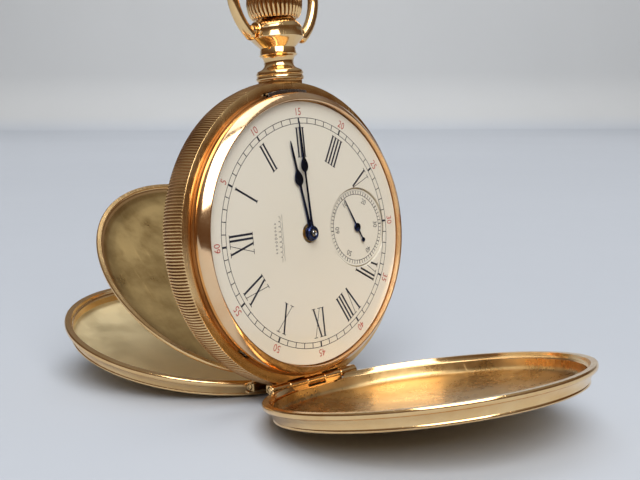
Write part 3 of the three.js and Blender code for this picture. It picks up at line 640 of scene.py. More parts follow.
def build_cover(node, side, leaves, hinge, place, inside, limit):
    def hinge_box(a, b, near, far, w0, w1):
        return box_data(a, b, *sorted((side * near, side * far)), w0, w1)

    name = node + "_shell"
    profile = [(r, side * (LID_RIM + depth)) for r, depth in LID_OUTER + LID_INNER]
    shell = lathe(name, profile, RING * 2, gold, place, sharp=40)
    cut(shell, hinge_box(-10.9, 10.9, LID_RIM - 0.5, LID_RIM + 1.15, -28, -24.7), place=place)
    shade(shell.data)
    paint(shell, inside, hollow(side, limit), place)
    place_piece(shell, node, "gold_case", node)
    line, back = abs(hinge.y), LID_RIM + 1.4
    leaf = [hinge_box(a, b, line + 0.25, back, -26.05, -25.2) for a, b in leaves]
    leaf.append(hinge_box(-10.9, 10.9, line + 0.9, back, -26.05, -25.15))
    piece(name + "_knuckles", merged(*leaf, *knuckles(leaves, hinge)), gold, node, "gold_case",
          place=place, bevel=0.06)


def build_cuvette():
    rim = [(24.1, 2.55), (24.75, 2.55), (24.87, 2.7), (24.88, 2.95), (24.75, 3.2), (24.5, 3.38),
           (24.2, 3.42), (23.95, 3.46)]
    dome = [(23.5, 3.68), (23.05, 4.05), (22.6, 4.26), (20.5, 4.42), (17, 4.62), (12, 4.82),
            (6, 4.94), (2, 4.97), (0, 4.97)]
    inner = [(0, 4.6), (6, 4.58), (12, 4.45), (17, 4.27), (20.5, 4.1), (22.2, 3.97), (22.8, 3.7),
             (23.3, 3.35), (23.6, 3.22), (23.95, 3.1), (24.08, 2.85)]
    shell = lathe("cuvette_shell", rim + dome + inner, RING * 2, gold, CUVETTE, sharp=50)
    # The cuvette's hollow takes the darker gold: painted shade.
    paint(shell, gold_cuvette_shaded, hollow(1, 23.4), CUVETTE)
    place_piece(shell, "cuvette", "gold_case", "cuvette")
    leaf = [box_data(a, b, 2.6, 3.1, -25.6, -24.3) for a, b in CUVETTE_LEAVES]
    piece("cuvette_knuckles", merged(*leaf, *knuckles(CUVETTE_LEAVES, BACK_HINGE)), gold, "cuvette",
          "gold_case", place=CUVETTE, bevel=0.05)


# ---------------------------------------------------------------- pendant, bow, crown
def build_pendant():
    base = [(1.2, 25.4), (1.85, 25.4), (1.85, 27.05), (3.95, 27.05), (4.15, 27.2), (4.22, 27.5),
            (4.1, 27.8), (3.98, 27.9), (4.12, 28.05), (4.15, 28.4), (3.95, 28.75), (3.6, 28.95),
            (3.1, 29.2), (2.72, 29.55), (2.6, 29.95)]
    neck = [(2.6, 30.4), (2.72, 30.95), (3.0, 31.3), (3.28, 31.46), (3.36, 31.6), (3.2, 31.72),
            (3.16, 32.4), (3.05, 32.75)]
    head = [(3.2, 33.0), (3.75, 33.6), (4.15, 34.15), (4.36, 34.42), (4.42, 34.58), (4.34, 34.74),
            (4.26, 36.0), (4.3, 36.15), (4.16, 36.5), (3.92, 36.95), (3.62, 37.35), (3.3, 37.75),
            (2.9, 38.0), (2.3, 38.08)]
    bore = [(1.9, 38.08), (1.9, 29.8), (1.2, 29.8)]

    def lobed(r, h, a):
        """The head swells towards the ears and is flatter front and back."""
        if h < 32.8 or r < 2.4:
            return r
        grow = min(1.0, (h - 32.8) / 1.5) * min(1.0, max(0.0, 37.7 - h))
        return r * (1 + grow * (0.16 * abs(math.cos(a)) ** 3 - 0.01 + 0.012 * math.cos(8 * a)))

    body = lathe("pendant_turned", base + neck + head + bore, 192, gold, upward=True, wave=lobed)
    seat = arc_points(26.6, 82.4, 97.6, 8) + [(-3.5, 27.2), (3.5, 27.2)]
    cut(body, prism_data(seat, -1.9, 1.9), "UNION")
    cut(body, tube_data([(0, 0, 25.0), (0, 0, 27.6)], 1.24, 48))
    ear = [(0.62, 3.5), (1.38, 3.5), (1.45, 3.62), (1.45, 5.02), (1.35, 5.12), (0.72, 5.12), (0.62, 5.02)]
    for side in (-1, 1):
        cut(body, along_x(ear, 64, 0, PIVOT_W, side), "UNION")
        cut(body, rod_data(0.62, side * 3.1, side * 5.4, 0, PIVOT_W, 40))
    shade(body.data)
    place_piece(body, "case", "gold_case", "pendant")


BOW_R = 9.75
BOW_W = 42.4
BOW_HALF = 140.5 * DEG
BOW_END = {"r": 1.02, "u": 6.2, "w": 34.9}


def build_bow():
    steps = 120
    arc = []
    for i in range(steps + 1):
        a = (i / steps - 0.5) * 2 * BOW_HALF
        arc.append((BOW_R * math.sin(a), 0, BOW_W + BOW_R * math.cos(a)))

    def wire(t):
        """The loop swells a little at its top."""
        return 0.98 + 0.07 * math.exp(-((t - 0.5) / 0.16) ** 2)

    r = BOW_END["r"]
    ball = [(r * math.sin(math.pi * i / 24), r * math.cos(math.pi * i / 24)) for i in range(25)]
    ball[0], ball[-1] = (0, r), (0, -r)
    parts = [tube_data(arc, wire, 32)]
    for side in (-1, 1):
        parts.append(moved(lathe_data(ball, 40), (side * BOW_END["u"], 0, BOW_END["w"])))
        parts.append(rod_data(0.85, side * 5.2, side * BOW_END["u"], 0, PIVOT_W, 40))
        parts.append(rod_data(0.5, side * 3.1, side * 5.5, 0, PIVOT_W, 32))
    piece("bow_loop", merged(*parts), gold, "bow", "gold_case", "bow", sharp=50, bevel=0.08)


CROWN_RIBS = 36


def rib_phase(a, h):
    """The ribs waver a little on their way up."""
    return CROWN_RIBS * a / 2 + 0.35 * math.sin(1.3 * h)


def build_crown():
    under = [(0, 38.3), (1.6, 38.3), (1.7, 38.75), (3.6, 38.75), (3.78, 38.2), (3.88, 37.95),
             (3.98, 37.88)]
    flank = [(4.15, 37.95), (4.42, 38.3), (4.64, 38.8), (4.8, 39.4), (4.92, 40.2), (4.95, 40.9),
             (4.86, 41.6), (4.6, 42.3), (4.2, 42.85), (3.7, 43.3)]
    top = [(3.35, 43.45), (3.2, 43.42), (3.05, 43.5), (2.4, 43.9), (1.2, 44.18), (0, 44.25)]

    def ribs(r, h, a):
        if r < 4.1 or h > 43.4:
            return r
        fade = min(1.0, (h - 37.8) / 0.35, (43.4 - h) / 0.35)
        return r - 0.6 * fade * (1 - abs(math.sin(rib_phase(a, h)))) ** 1.3

    crown = lathe("crown_ribbed", under + flank + top, CROWN_RIBS * 16, gold, upward=True, wave=ribs,
                  sharp=60)
    # The valleys between the crown's ribs take the darker gold: painted shade in the creases.
    paint(crown, gold_painted_shade, lambda p, n: p.z < 43.3 and math.hypot(p.x, p.y) > 3.4
          and abs(math.sin(rib_phase(math.atan2(p.y, p.x), p.z))) < 0.5)
    place_piece(crown, "crown_and_stem", "gold_case", "crown")


def build_stem():
    stem = [(0, 17.6), (0.7, 17.6), (0.85, 17.75), (0.85, 30.6), (1.2, 30.6), (1.3, 30.7), (1.3, 31.2),
            (1.2, 31.3), (0.85, 31.3), (0.85, 38.27), (0, 38.27)]
    square = [(0.62 * math.cos(a), 0.62 * math.sin(a)) for a in (0, math.pi / 2, math.pi, -math.pi / 2)]
    verts = [(x, y, w) for w in (12.8, 18.0) for x, y in square]
    faces = [(0, 1, 2, 3), (7, 6, 5, 4)] + [(i, (i + 1) % 4, (i + 1) % 4 + 4, i + 4) for i in range(4)]
    data = merged(lathe_data(stem, 48, upward=True), (verts, faces))
    piece("winding_stem_turned", data, steel, "crown_and_stem", "steel", "winding_stem", bevel=0.04)
    collar = rounded([(1.0, 31.5), (1.75, 31.5), (1.75, 36.6), (1.0, 36.6)], 0.1)
    piece("stem_sleeve", lathe_data(collar, 64, upward=True), steel, "stem_slider", "steel", "stem_collar")


def build_case_springs():
    arm = prism_data(arc_outline(23.0, 23.7, 84, 196, 90), -1.85, -1.1)
    nose = prism_data(arc_outline(23.6, 25.0, 84, 104.8, 30), -1.85, -1.1)
    lip = prism_data(arc_outline(24.42, 25.22, 83.4, 104.6, 30), -3.42, -1.8)
    piece("lock_spring_catch", merged(arm, nose, lip), catch_steel, "lock_spring", "steel",
          "lock_spring", bevel=0.09, segments=3)
    arm = prism_data(arc_outline(23.0, 23.7, 206, 264, 60), -1.85, -1.1)
    foot = prism_data(arc_outline(23.5, 24.7, 227, 231, 8), -1.85, -1.1)
    tip = prism_data(arc_outline(24.25, 24.7, 227, 231, 8), -3.0, -1.8)
    piece("lift_spring_blade", merged(arm, foot, tip), catch_steel, "case", "steel", "lift_spring",
          bevel=0.06)


# ---------------------------------------------------------------- dial printing
INK = 0.015
THICK, THIN, SERIF = 0.36, 0.11, 0.12
ROMAN_R0, ROMAN_R1 = 13.3, 18.5
ROMAN_WIDTH = {"I": 0.74, "V": 2.3, "X": 2.35}
DIAL_ROLL = -1.9
NUMERALS = {60: "XII", 5: "I", 10: "II", 15: "III", 20: "IIII", 25: "V", 35: "VII", 40: "VIII",
            45: "IX", 50: "X", 55: "XI"}
SUB_R = 7.05
SUB_CENTRE = (SECONDS_U, 0.0)


def on_dial(u, w, angle, r):
    """A point drawn beside a radius at "angle" clockwise from the pendant, at distance r + w."""
    return (u * math.cos(angle) + (r + w) * math.sin(angle),
            -u * math.sin(angle) + (r + w) * math.cos(angle))


def stroke(points, width):
    """A flat stroke along straight segments, as quadrilaterals."""
    quads = []
    for (x0, y0), (x1, y1) in zip(points, points[1:]):
        length = math.hypot(x1 - x0, y1 - y0)
        nx, ny = -(y1 - y0) / length * width / 2, (x1 - x0) / length * width / 2
        quads.append([(x0 + nx, y0 + ny), (x1 + nx, y1 + ny), (x1 - nx, y1 - ny), (x0 - nx, y0 - ny)])
    return quads


def slanted(x0, y0, x1, y1, width):
    half = width / 2
    return [[(x0 + half, y0), (x1 + half, y1), (x1 - half, y1), (x0 - half, y0)]]


def roman(text):
    """Quadrilaterals of a numeral, x across its middle and y up from its foot."""
    top = ROMAN_R1 - ROMAN_R0
    low, high = 0.06, top - 0.06
    quads, x = [], 0.0

    def serif(start, end, y):
        return stroke([(start, y), (end, y)], SERIF)

    for letter in text:
        right = x + ROMAN_WIDTH[letter]
        mid = (x + right) / 2
        if letter == "I":
            half = (THICK + 0.28) / 2
            quads += stroke([(mid, 0), (mid, top)], THICK)
            quads += serif(mid - half, mid + half, low) + serif(mid - half, mid + half, high)
        elif letter == "V":
            quads += slanted(x + 0.45, top, mid, 0.0, THICK) + slanted(right - 0.4, top, mid, 0.0, THIN)
            quads += serif(x + 0.02, x + 0.95, high) + serif(right - 0.8, right - 0.02, high)
        else:
            quads += slanted(x + 0.45, top, right - 0.45, 0.0, THICK)
            quads += slanted(right - 0.4, top, x + 0.4, 0.0, THIN)
            for y in (low, high):
                quads += serif(x + 0.02, x + 0.9, y) + serif(right - 0.9, right - 0.02, y)
        x = right
    return [[(px - x / 2, py) for px, py in quad] for quad in quads]


def printed(quads, face):
    """Thin solid print: each quadrilateral stands a little above the face."""
    verts, faces = [], []
    for quad in quads:
        n = len(quad)
        start = len(verts)
        verts += [(u, face - INK, w) for u, w in quad] + [(u, face + INK, w) for u, w in quad]
        faces.append(tuple(range(start, start + n)))
        faces.append(tuple(reversed(range(start + n, start + 2 * n))))
        faces += [(start + i, start + (i + 1) % n, start + n + (i + 1) % n, start + n + i)
                  for i in range(n)]
    return verts, faces


def radial(quads, angle, r, centre=(0.0, 0.0)):
    """Quads drawn upright, set on a radius."""
    return [[tuple(a + b for a, b in zip(on_dial(x, y, angle, r), centre)) for x, y in quad]
            for quad in quads]


def ring_line(r, half, steps, centre=(0.0, 0.0)):
    """Quads of a circular line."""
    quads = []
    for i in range(steps):
        a, b = (360 * k / steps * DEG for k in (i, i + 1))
        quads.append([(centre[0] + d * math.sin(t), centre[1] + d * math.cos(t))
                      for d, t in ((r - half, a), (r + half, a), (r + half, b), (r - half, b))])
    return quads


def digits_data(number, height, r, face, centre=(0.0, 0.0)):
    """A minute or second in the built-in font, at its place, with its top outward."""
    curve = bpy.data.curves.new("digits", "FONT")
    curve.body = str(number)
    curve.align_x, curve.align_y = "CENTER", "CENTER"
    curve.size = 1.0
    curve.resolution_u = 3
    obj = linked("digits", curve)
    depsgraph = bpy.context.evaluated_depsgraph_get()
    mesh = bpy.data.meshes.new_from_object(obj.evaluated_get(depsgraph))
    scale, narrow = height / 0.7, 0.9
    verts, faces = [], [tuple(p.vertices) for p in mesh.polygons]
    for v in mesh.vertices:
        u, w = on_dial(v.co.x * scale * narrow, v.co.y * scale, mark_angle(number), r)
        verts.append((u + centre[0], face - INK, w + centre[1]))
    bpy.data.objects.remove(obj)
    bpy.data.meshes.remove(mesh)
    return verts, faces


def mark_angle(minute):
    """Clockwise from the pendant; the dial is mounted with XII at the left."""
    return (6 * (minute - 15) + DIAL_ROLL) * DEG


def outside_sub_dial(quad, margin=0.15):
    return all(math.hypot(u - SECONDS_U, w) > SUB_R + margin for u, w in quad)


def split(quads, parts=10):
    """Cuts four-sided pieces across their length, so that a sub-dial can interrupt them."""
    out = []
    for a, b, c, d in quads:
        for i in range(parts):
            s, t = i / parts, (i + 1) / parts

            def between(p, q, k):
                return (p[0] + (q[0] - p[0]) * k, p[1] + (q[1] - p[1]) * k)
            out.append([between(a, b, s), between(a, b, t), between(d, c, t), between(d, c, s)])
    return out


def print_on(name, data, ink=ink_black):
    piece(name, data, ink, "case", "enamel", sharp=80)


def build_dial():
    holes = [circle(1.7, 64), circle(SUB_R + 0.2, 160, SUB_CENTRE)]
    plate = prism_data(circle(23.0, RING), DIAL_FACE, -3.75, holes)
    piece("dial_plate", plate, enamel, "case", "enamel", "dial", sharp=30, bevel=0.12, segments=3)
    quads = []
    for minute, text in NUMERALS.items():
        shape = radial(roman(text), mark_angle(minute), ROMAN_R0)
        if minute in (25, 35):
            shape = [q for q in split(shape, 14) if outside_sub_dial(q)]
        quads += shape
    for r in (19.2, 20.15):
        quads += ring_line(r, 0.05, 360)
    for minute in range(60):
        tick = stroke([(0, 0), (0, 0.95)], 0.15 if minute % 5 else 0.34)
        quads += radial(tick, mark_angle(minute), 19.2)
    print_on("dial_numerals", printed(quads, DIAL_FACE))
    red = [digits_data(minute, 1.28, 21.15, DIAL_FACE) for minute in range(5, 65, 5)]
    print_on("dial_minute_numerals", merged(*red), ink_red)


def build_ornament():
    """A small printed flourish where a maker's line would stand: lozenges over a fine wave."""
    quads, spine = [], []
    half, waves, steps = 3.9, 9, 180
    for i in range(-4, 5):
        x, size = i * 0.62, 0.3 - 0.03 * abs(i)
        tips = [(x, 0.75 + size), (x + size * 0.6, 0.75), (x, 0.75 - size), (x - size * 0.6, 0.75)]
        quads += stroke(tips + tips[:1], 0.06)
    for i in range(steps + 1):
        t = 2 * i / steps - 1
        swell = 0.34 * (1 - t * t) ** 0.5
        spine.append((half * t + 0.22 * math.cos(waves * math.pi * t),
                      -0.35 + swell * math.sin(waves * math.pi * t)))
    quads += stroke(spine, 0.06)
    quads += stroke([(-half - 0.1, -0.95), (half + 0.1, -0.95)], 0.05)
    turned = [[(-7.4 - y, x - 0.25) for x, y in quad] for quad in quads]
    print_on("dial_flourish", printed(turned, DIAL_FACE))


def build_seconds_dial():
    face = SECONDS_FACE
    dish = [(0.5, face), (5.2, face), (6.6, face), (6.85, face - 0.03), (SUB_R - 0.03, face - 0.06),
            (SUB_R, face), (SUB_R, -3.68), (0.5, -3.68)]
    piece("seconds_dial_plate", moved(lathe_data(dish, 192), (SECONDS_U, 0, 0)), enamel, "case",
          "enamel", "seconds_dial")
    quads = []
    for r, half in ((6.05, 0.045), (6.75, 0.055)):
        quads += ring_line(r, half, 180, SUB_CENTRE)
    for second in range(60):
        tick = stroke([(0, 0), (0, 0.7)], 0.11 if second % 5 else 0.18)
        quads += radial(tick, mark_angle(second), 6.05, SUB_CENTRE)
    print_on("seconds_track", printed(quads, face))
    numbers = [digits_data(second, 0.98, 5.05, face, SUB_CENTRE) for second in range(10, 70, 10)]
    print_on("seconds_numerals", merged(*numbers))


# ---------------------------------------------------------------- hands
def spade_outline(boss, width, spade_at, spade_half, spade_length, tip):
    half = width / 2
    side = [(half * 1.7, boss * 0.6), (half * 1.15, boss + 1.2)]
    start = spade_at - spade_length * 0.45
    side += [(half * 0.9, start - 0.8), (half, start)]
    for i in range(1, 10):
        t = i / 10
        bulge = math.sin(math.pi * t ** 0.8) ** 0.8
        side.append((half + (spade_half - half) * bulge, start + spade_length * 1.05 * t))
    side += [(half * 0.95, start + spade_length * 1.12), (half * 0.8, tip - 1.2), (half * 0.28, tip)]
    return side + [(-x, y) for x, y in reversed(side)]


def build_hands():
    hour_angle, minute_angle, seconds_angle = -11.6 * DEG, -3.7 * DEG, -29 * DEG
    hour = merged(
        prism_data(spade_outline(1.4, 0.52, 9.7, 0.98, 2.6, 16.5), -4.9, -4.74),
        lathe_data(rounded([(0.95, -4.95), (1.4, -4.95), (1.4, -4.7), (0.95, -4.7)], 0.06), 64))
    piece("hour_hand_spade", moved(hour, turn=hour_angle), blued, "hour", "blued_steel", "hour_hand",
          bevel=0.06)
    minute = merged(
        prism_data(spade_outline(1.3, 0.42, 11.8, 0.83, 2.4, 19.6), -5.28, -5.12),
        lathe_data(rounded([(0.66, -5.46), (0.82, -5.56), (1.12, -5.5), (1.3, -5.3), (1.3, -5.1),
                            (0.66, -5.1)], 0.07), 64))
    piece("minute_hand_spade", moved(minute, turn=minute_angle), blued, "center", "blued_steel",
          "minute_hand", bevel=0.05)
    blade = [(0.17, 0), (0.13, 2.5), (0.06, 5.6), (0.035, 6.0), (-0.035, 6.0), (-0.06, 5.6),
             (-0.13, 2.5), (-0.17, 0), (-0.1, -2.3), (0.1, -2.3)]
    bead = rounded([(0, -4.42), (0.44, -4.42), (0.44, -4.3), (0, -4.3)], 0.05, closed=False)
    boss = [(0.0, -4.52), (0.5, -4.52), (0.74, -4.46), (0.8, -4.4), (0.8, -4.28), (0.0, -4.28)]
    second = merged(prism_data(blade, -4.42, -4.3), moved(lathe_data(bead, 40), (0, 0, -2.75)),
                    lathe_data(boss, 48))
    piece("seconds_hand_blade", moved(second, (SECONDS_U, 0, 0), seconds_angle), blued, "fourth",
          "blued_steel", "seconds_hand")


# ---------------------------------------------------------------- movement: wheels
# Where each arbor stands in the plane of the dial.
TRAIN = {
    "barrel": (-10.5, 5.2), "third": (7.5, -6.5), "fourth": (12.45, 0), "escape": (15.5, 5.2),
    "pallet": (12.97, 7.31), "balance": (9.5, 10.2), "crown_wheel": (0, 11.0),
    "minute_wheel": (-2.6, -1.87), "centre": (0, 0),
}


def gear_outline(teeth, pitch, mesh=0.0, gap=False):
    """Teeth with short curved tips about a pitch circle; a tip, or a gap, stands at "mesh"."""
    module = 2 * pitch / teeth
    tip, root = pitch + 0.6 * module, pitch - 1.0 * module
    shift = 0.5 if gap else 0.0
    points = []
    for i in range(teeth):
        for k, r in ((-0.3, root), (-0.22, pitch), (-0.08, tip), (0.08, tip), (0.22, pitch), (0.3, root)):
            a = mesh + 2 * math.pi * (i + k + shift) / teeth
            points.append((r * math.cos(a), r * math.sin(a)))
    return points


def spoke_holes(count, r0, r1, half_width, steps=14):
    """Openings between the arms of a crossed wheel."""
    holes = []
    for i in range(count):
        a0, a1 = 2 * math.pi * i / count, 2 * math.pi * (i + 1) / count
        loop = []
        for r, start, end in ((r1, a0, a1), (r0, a1, a0)):
            turn = math.asin(half_width / r) * (1 if end > start else -1)
            for k in range(steps + 1):
                a = start + turn + (end - start - 2 * turn) * k / steps
                loop.append((r * math.cos(a), r * math.sin(a)))
        holes.append(loop)
    return holes


def wheel_data(teeth, pitch, v0, v1, mesh=0.0, gap=False, arms=0, hub=1.3, rim=0.9, arm=0.32, bore=0.0):
    holes = []
    if arms:
        holes = spoke_holes(arms, hub, pitch - 2 * pitch / teeth - rim, arm)
    elif bore:
        holes = [circle(bore, 32)]
    return prism_data(gear_outline(teeth, pitch, mesh, gap), v0, v1, holes)


def disc_data(r, v0, v1, segments=48, soft=0.05, bore=0.0):
    soft = min(soft, (v1 - v0) * 0.4, r * 0.3)
    outer = [(r - soft, v0), (r, v0 + soft), (r, v1 - soft), (r - soft, v1)]
    if bore:
        return lathe_data([(bore, v0), *outer, (bore, v1)], segments)
    return lathe_data([(0, v0), *outer, (0, v1)], segments)


def bearing(a, b):
    return math.atan2(TRAIN[b][1] - TRAIN[a][1], TRAIN[b][0] - TRAIN[a][0])


def apart(a, b):
    return math.hypot(TRAIN[b][0] - TRAIN[a][0], TRAIN[b][1] - TRAIN[a][1])


def pitches(a, b, ratio):
    d = apart(a, b)
    return d * ratio / (1 + ratio), d / (1 + ratio)


def at(data, name_or_place):
    u, w = TRAIN[name_or_place] if isinstance(name_or_place, str) else name_or_place
    return moved(data, (u, 0, w))


# ---------------------------------------------------------------- movement: plates
SCREW_AT = [on_circle(20.6, 103), on_circle(20.6, 207), on_circle(20.6, 250),
            on_circle(20.6, 328), on_circle(20.7, 1), on_circle(20.7, 25)]
RIM_SCREWS = [(-12.5, -14.5), (9.0, -17.0)]


def foot_data(start, end, r0=19.5, r1=22.0, top=1.7):
    return prism_data(arc_outline(r0, r1, start, end, 10), -1.97, top)


def build_bridge(node, outline, corner, v0, v1, holes, feet, material=bridge_gilt, bevel=0.14):
    """A plate on feet at the rim; each hole is a radius, a count of sides and a place."""
    plate = prism_data(rounded(outline, corner, 4), v0, v1, [circle(*hole) for hole in holes])
    piece(node + "_plate", merged(plate, *feet), material, "case", "gilt_brass", node, bevel=bevel)


def build_plates():
    plate = [(1.2, -2.6), (6.2, -2.6), (6.2, -3.6), (22.25, -3.6), (22.4, -3.45), (22.4, -2.15),
             (22.25, -2.0), (1.2, -2.0)]
    base = lathe("pillar_plate_turned", plate, RING, gilt)
    for r, place in ((0.62, RIM_SCREWS[0]), (0.62, RIM_SCREWS[1]), (0.75, "fourth")):
        cut(base, at(disc_data(r, -4, -1, soft=0), place))
    shade(base.data)
    place_piece(base, "case", "gilt_brass", "pillar_plate")

    outline = arc_points(22.0, 94, 216, 60) + [(-9.6, -8.2), (-2.6, -3.6), (2.7, -2.9), (3.2, 3.0),
                                               (2.3, 6.5), (5.4, 9.0), (5.6, 13.0), (2.6, 16.6)]
    holes = [(4.72, 96, TRAIN["crown_wheel"]), (1.6, 48, TRAIN["barrel"]), (0.95, 40),
             (0.62, 24, SCREW_AT[0]), (0.62, 24, SCREW_AT[1])]
    build_bridge("barrel_bridge", outline, 0.9, 1.6, 3.0, holes, [foot_data(96, 110), foot_data(200, 214)])

    outline = arc_points(22.0, 222, 346, 60) + [(15.4, 2.0), (10.4, 2.6), (4.0, -1.6), (1.5, -4.2),
                                                (-2.4, -5.2)]
    holes = [(0.95, 40, TRAIN["third"]), (0.95, 40, TRAIN["fourth"]), (0.62, 24, SCREW_AT[2]),
             (0.62, 24, SCREW_AT[3])]
    build_bridge("train_bridge", outline, 0.9, 1.6, 3.0, holes, [foot_data(243, 257), foot_data(321, 335)])

    outline = arc_points(22.0, -9.5, 11.5, 12) + [(17.0, 8.2), (12.6, 11.6), (11.2, 12.9),
                                                  (9.5, 13.4), (7.6, 12.8), (6.3, 11.2), (6.2, 9.3),
                                                  (7.4, 7.7), (9.6, 7.0), (12.6, 5.2), (16.2, 2.6)]
    holes = [(0.95, 40, TRAIN["balance"]), (0.62, 24, SCREW_AT[4])]
    build_bridge("balance_cock", outline, 0.7, 2.1, 3.1, holes, [foot_data(-8, 10, top=2.2)], bevel=0.12)

    outline = arc_points(21.9, 18, 31, 8) + [(13.9, 9.3), (12.0, 8.6), (11.7, 6.9), (13.4, 6.0),
                                             (14.2, 4.4), (15.6, 3.9), (17.1, 4.6), (18.2, 6.0)]
    holes = [(0.3, 20, TRAIN["escape"]), (0.3, 20, TRAIN["pallet"]), (0.4, 20, SCREW_AT[5])]
    build_bridge("pallet_cock", outline, 0.5, 0.24, 0.58, holes, [foot_data(20, 30, 19.7, 21.9, 0.3)],
                 gilt, 0.05)


# ---------------------------------------------------------------- movement: screws and jewels
def screw_data(place, head_r, top, height, shank_r, bottom, turn, slot_half=0.14, slot_depth=0.17):
    """A polished screw with a domed head and a slot cut across it."""
    head = rounded([(0, top), (head_r, top), (head_r, top + height - 0.08),
                    (head_r * 0.75, top + height), (0, top + height)], 0.06, 2, closed=False)
    body = mesh_object("screw", *at(lathe_data(head, 48), place), WATCH, blued)
    c, s = math.cos(turn), math.sin(turn)
    reach = head_r * 1.3
    corners = [(-reach, -slot_half), (reach, -slot_half), (reach, slot_half), (-reach, slot_half)]
    outline = [(place[0] + x * c - y * s, place[1] + x * s + y * c) for x, y in corners]
    cut(body, prism_data(outline, top + height - slot_depth, top + height + 1))
    home = WATCH.inverted()
    verts = [tuple(home @ v.co) for v in body.data.vertices]
    faces = [tuple(p.vertices) for p in body.data.polygons]
    bpy.data.objects.remove(body)
    return merged((verts, faces), at(disc_data(shank_r, bottom, top + 0.02, 24, 0.0), place))


def build_screws():
    for i, place in enumerate(SCREW_AT[:5]):
        top = 3.13 if i == 4 else 3.03
        data = screw_data(place, 0.95, top, 0.42, 0.5, -1.5, random.uniform(0, math.pi))
        piece(f"plate_screw_{i + 1}", data, spring_blue, "case", "blued_steel", f"bridge_screw_{i + 1}")
    for i, place in enumerate(RIM_SCREWS):
        data = screw_data(place, 1.15, -1.95, 0.45, 0.5, -3.5, random.uniform(0, math.pi), 0.16)
        piece(f"rim_screw_{i + 1}", data, steel, "case", "steel", f"case_screw_{i + 1}")
    crown = screw_data(TRAIN["crown_wheel"], 1.6, 3.63, 0.32, 0.6, 1.98, 0.7, 0.17, 0.15)
    piece("crown_wheel_cap", crown, spring_blue, "case", "blued_steel", "crown_wheel_screw")
    ratchet = screw_data(TRAIN["barrel"], 1.6, 3.63, 0.32, 0.6, 3.05, 2.1, 0.17, 0.15)
    piece("ratchet_cap", ratchet, spring_blue, "ratchet", "blued_steel", "ratchet_screw")


def build_jewels():
    """Domed rubies, each pushed into its hole."""
    for name, place, v0, v1, bore in (("center", (0, 0), 2.3, 3.04, 0.3),
                                      ("third", TRAIN["third"], 2.3, 3.04, 0.3),
                                      ("fourth", TRAIN["fourth"], 2.3, 3.04, 0.3),
                                      ("balance", TRAIN["balance"], 2.45, 3.14, 0.2)):
        cup = [(bore, v0), (0.9, v0), (0.9, v1 - 0.06), (0.84, v1), (0.7, v1 - 0.01),
               (bore + 0.1, v1 - 0.16), (bore, v1 - 0.22)]
        piece(f"ruby_{name}", at(lathe_data(cup, 48), place), ruby, "case", "ruby", f"jewel_{name}")


# ---------------------------------------------------------------- movement: going train
def build_going_train():
    centre_third = pitches("centre", "third", 8)
    third_fourth = pitches("third", "fourth", 7.5)
    fourth_escape = pitches("fourth", "escape", 10)
    barrel_centre = pitches("barrel", "centre", 6.5)

    mesh = bearing("centre", "third")
    centre = merged(
        wheel_data(80, centre_third[0], -1.85, -1.55, mesh, arms=5, hub=1.5, arm=0.35),
        wheel_data(12, barrel_centre[1], 0.75, 1.45, bearing("centre", "barrel"), gap=True),
        disc_data(1.1, -1.95, 0.8), disc_data(0.26, -2.5, 2.9, 24))
    piece("center_wheel_crossed", centre, brass, "center", "brass", "center_wheel")
    third = merged(
        wheel_data(75, third_fourth[0], -0.95, -0.7, bearing("third", "fourth"), arms=5, hub=1.0, rim=0.6,
                   arm=0.25),
        wheel_data(10, centre_third[1], -1.95, -1.35, mesh + math.pi, gap=True),
        disc_data(0.6, -1.4, 1.2, 32), disc_data(0.22, 1.1, 2.9, 24))
    piece("third_wheel_crossed", at(third, "third"), brass, "third", "brass", "third_wheel")
    fourth = merged(
        wheel_data(80, fourth_escape[0], -0.2, 0.02, bearing("fourth", "escape"), arms=5, hub=0.9,
                   rim=0.5, arm=0.2),
        wheel_data(10, third_fourth[1], -1.1, -0.5, bearing("fourth", "third"), gap=True),
        disc_data(0.5, -1.9, 1.2, 32), disc_data(0.22, 1.1, 2.9, 24), disc_data(0.18, -4.38, -1.8, 24))
    piece("fourth_wheel_crossed", at(fourth, "fourth"), brass, "fourth", "brass", "fourth_wheel")

    teeth = []
    for i in range(15):
        a = 2 * math.pi * i / 15
        for r, da in ((2.1, 0.0), (2.85, 0.16), (2.85, 0.23), (2.3, 0.235), (2.1, 0.28)):
            teeth.append((r * math.cos(a + da), r * math.sin(a + da)))
    escape = merged(
        prism_data(teeth, -1.25, -1.0, spoke_holes(4, 0.6, 1.75, 0.14)),
        wheel_data(8, fourth_escape[1], -0.35, 0.16, bearing("escape", "fourth"), gap=True),
        disc_data(0.36, -1.95, -0.3, 32), disc_data(0.2, 0.1, 0.52, 24))
    piece("escape_wheel_toothed", at(escape, "escape"), steel, "escape", "steel", "escape_wheel")

    fork = [(0.55, 0.3), (2.5, 0.22), (2.9, 0.55), (3.25, 0.55), (3.05, 0.12), (3.05, -0.12),
            (3.25, -0.55), (2.9, -0.55), (2.5, -0.22), (0.55, -0.3), (0.2, -1.9), (-0.55, -2.35),
            (-0.8, -1.95), (-0.35, -0.5), (-0.35, 0.5), (-0.8, 1.95), (-0.55, 2.35), (0.2, 1.9)]
    lever = merged(prism_data(rounded(fork, 0.12, 2), -1.28, -1.0), disc_data(0.42, -1.4, -0.9, 32),
                   disc_data(0.2, -1.95, 0.52, 24))
    lever = at(moved(lever, turn=-bearing("pallet", "balance")), "pallet")
    piece("pallet_lever", lever, steel, "pallet_fork", "steel", "pallet_fork", bevel=0.04)
    build_barrel(barrel_centre[0])
    build_motion_work()


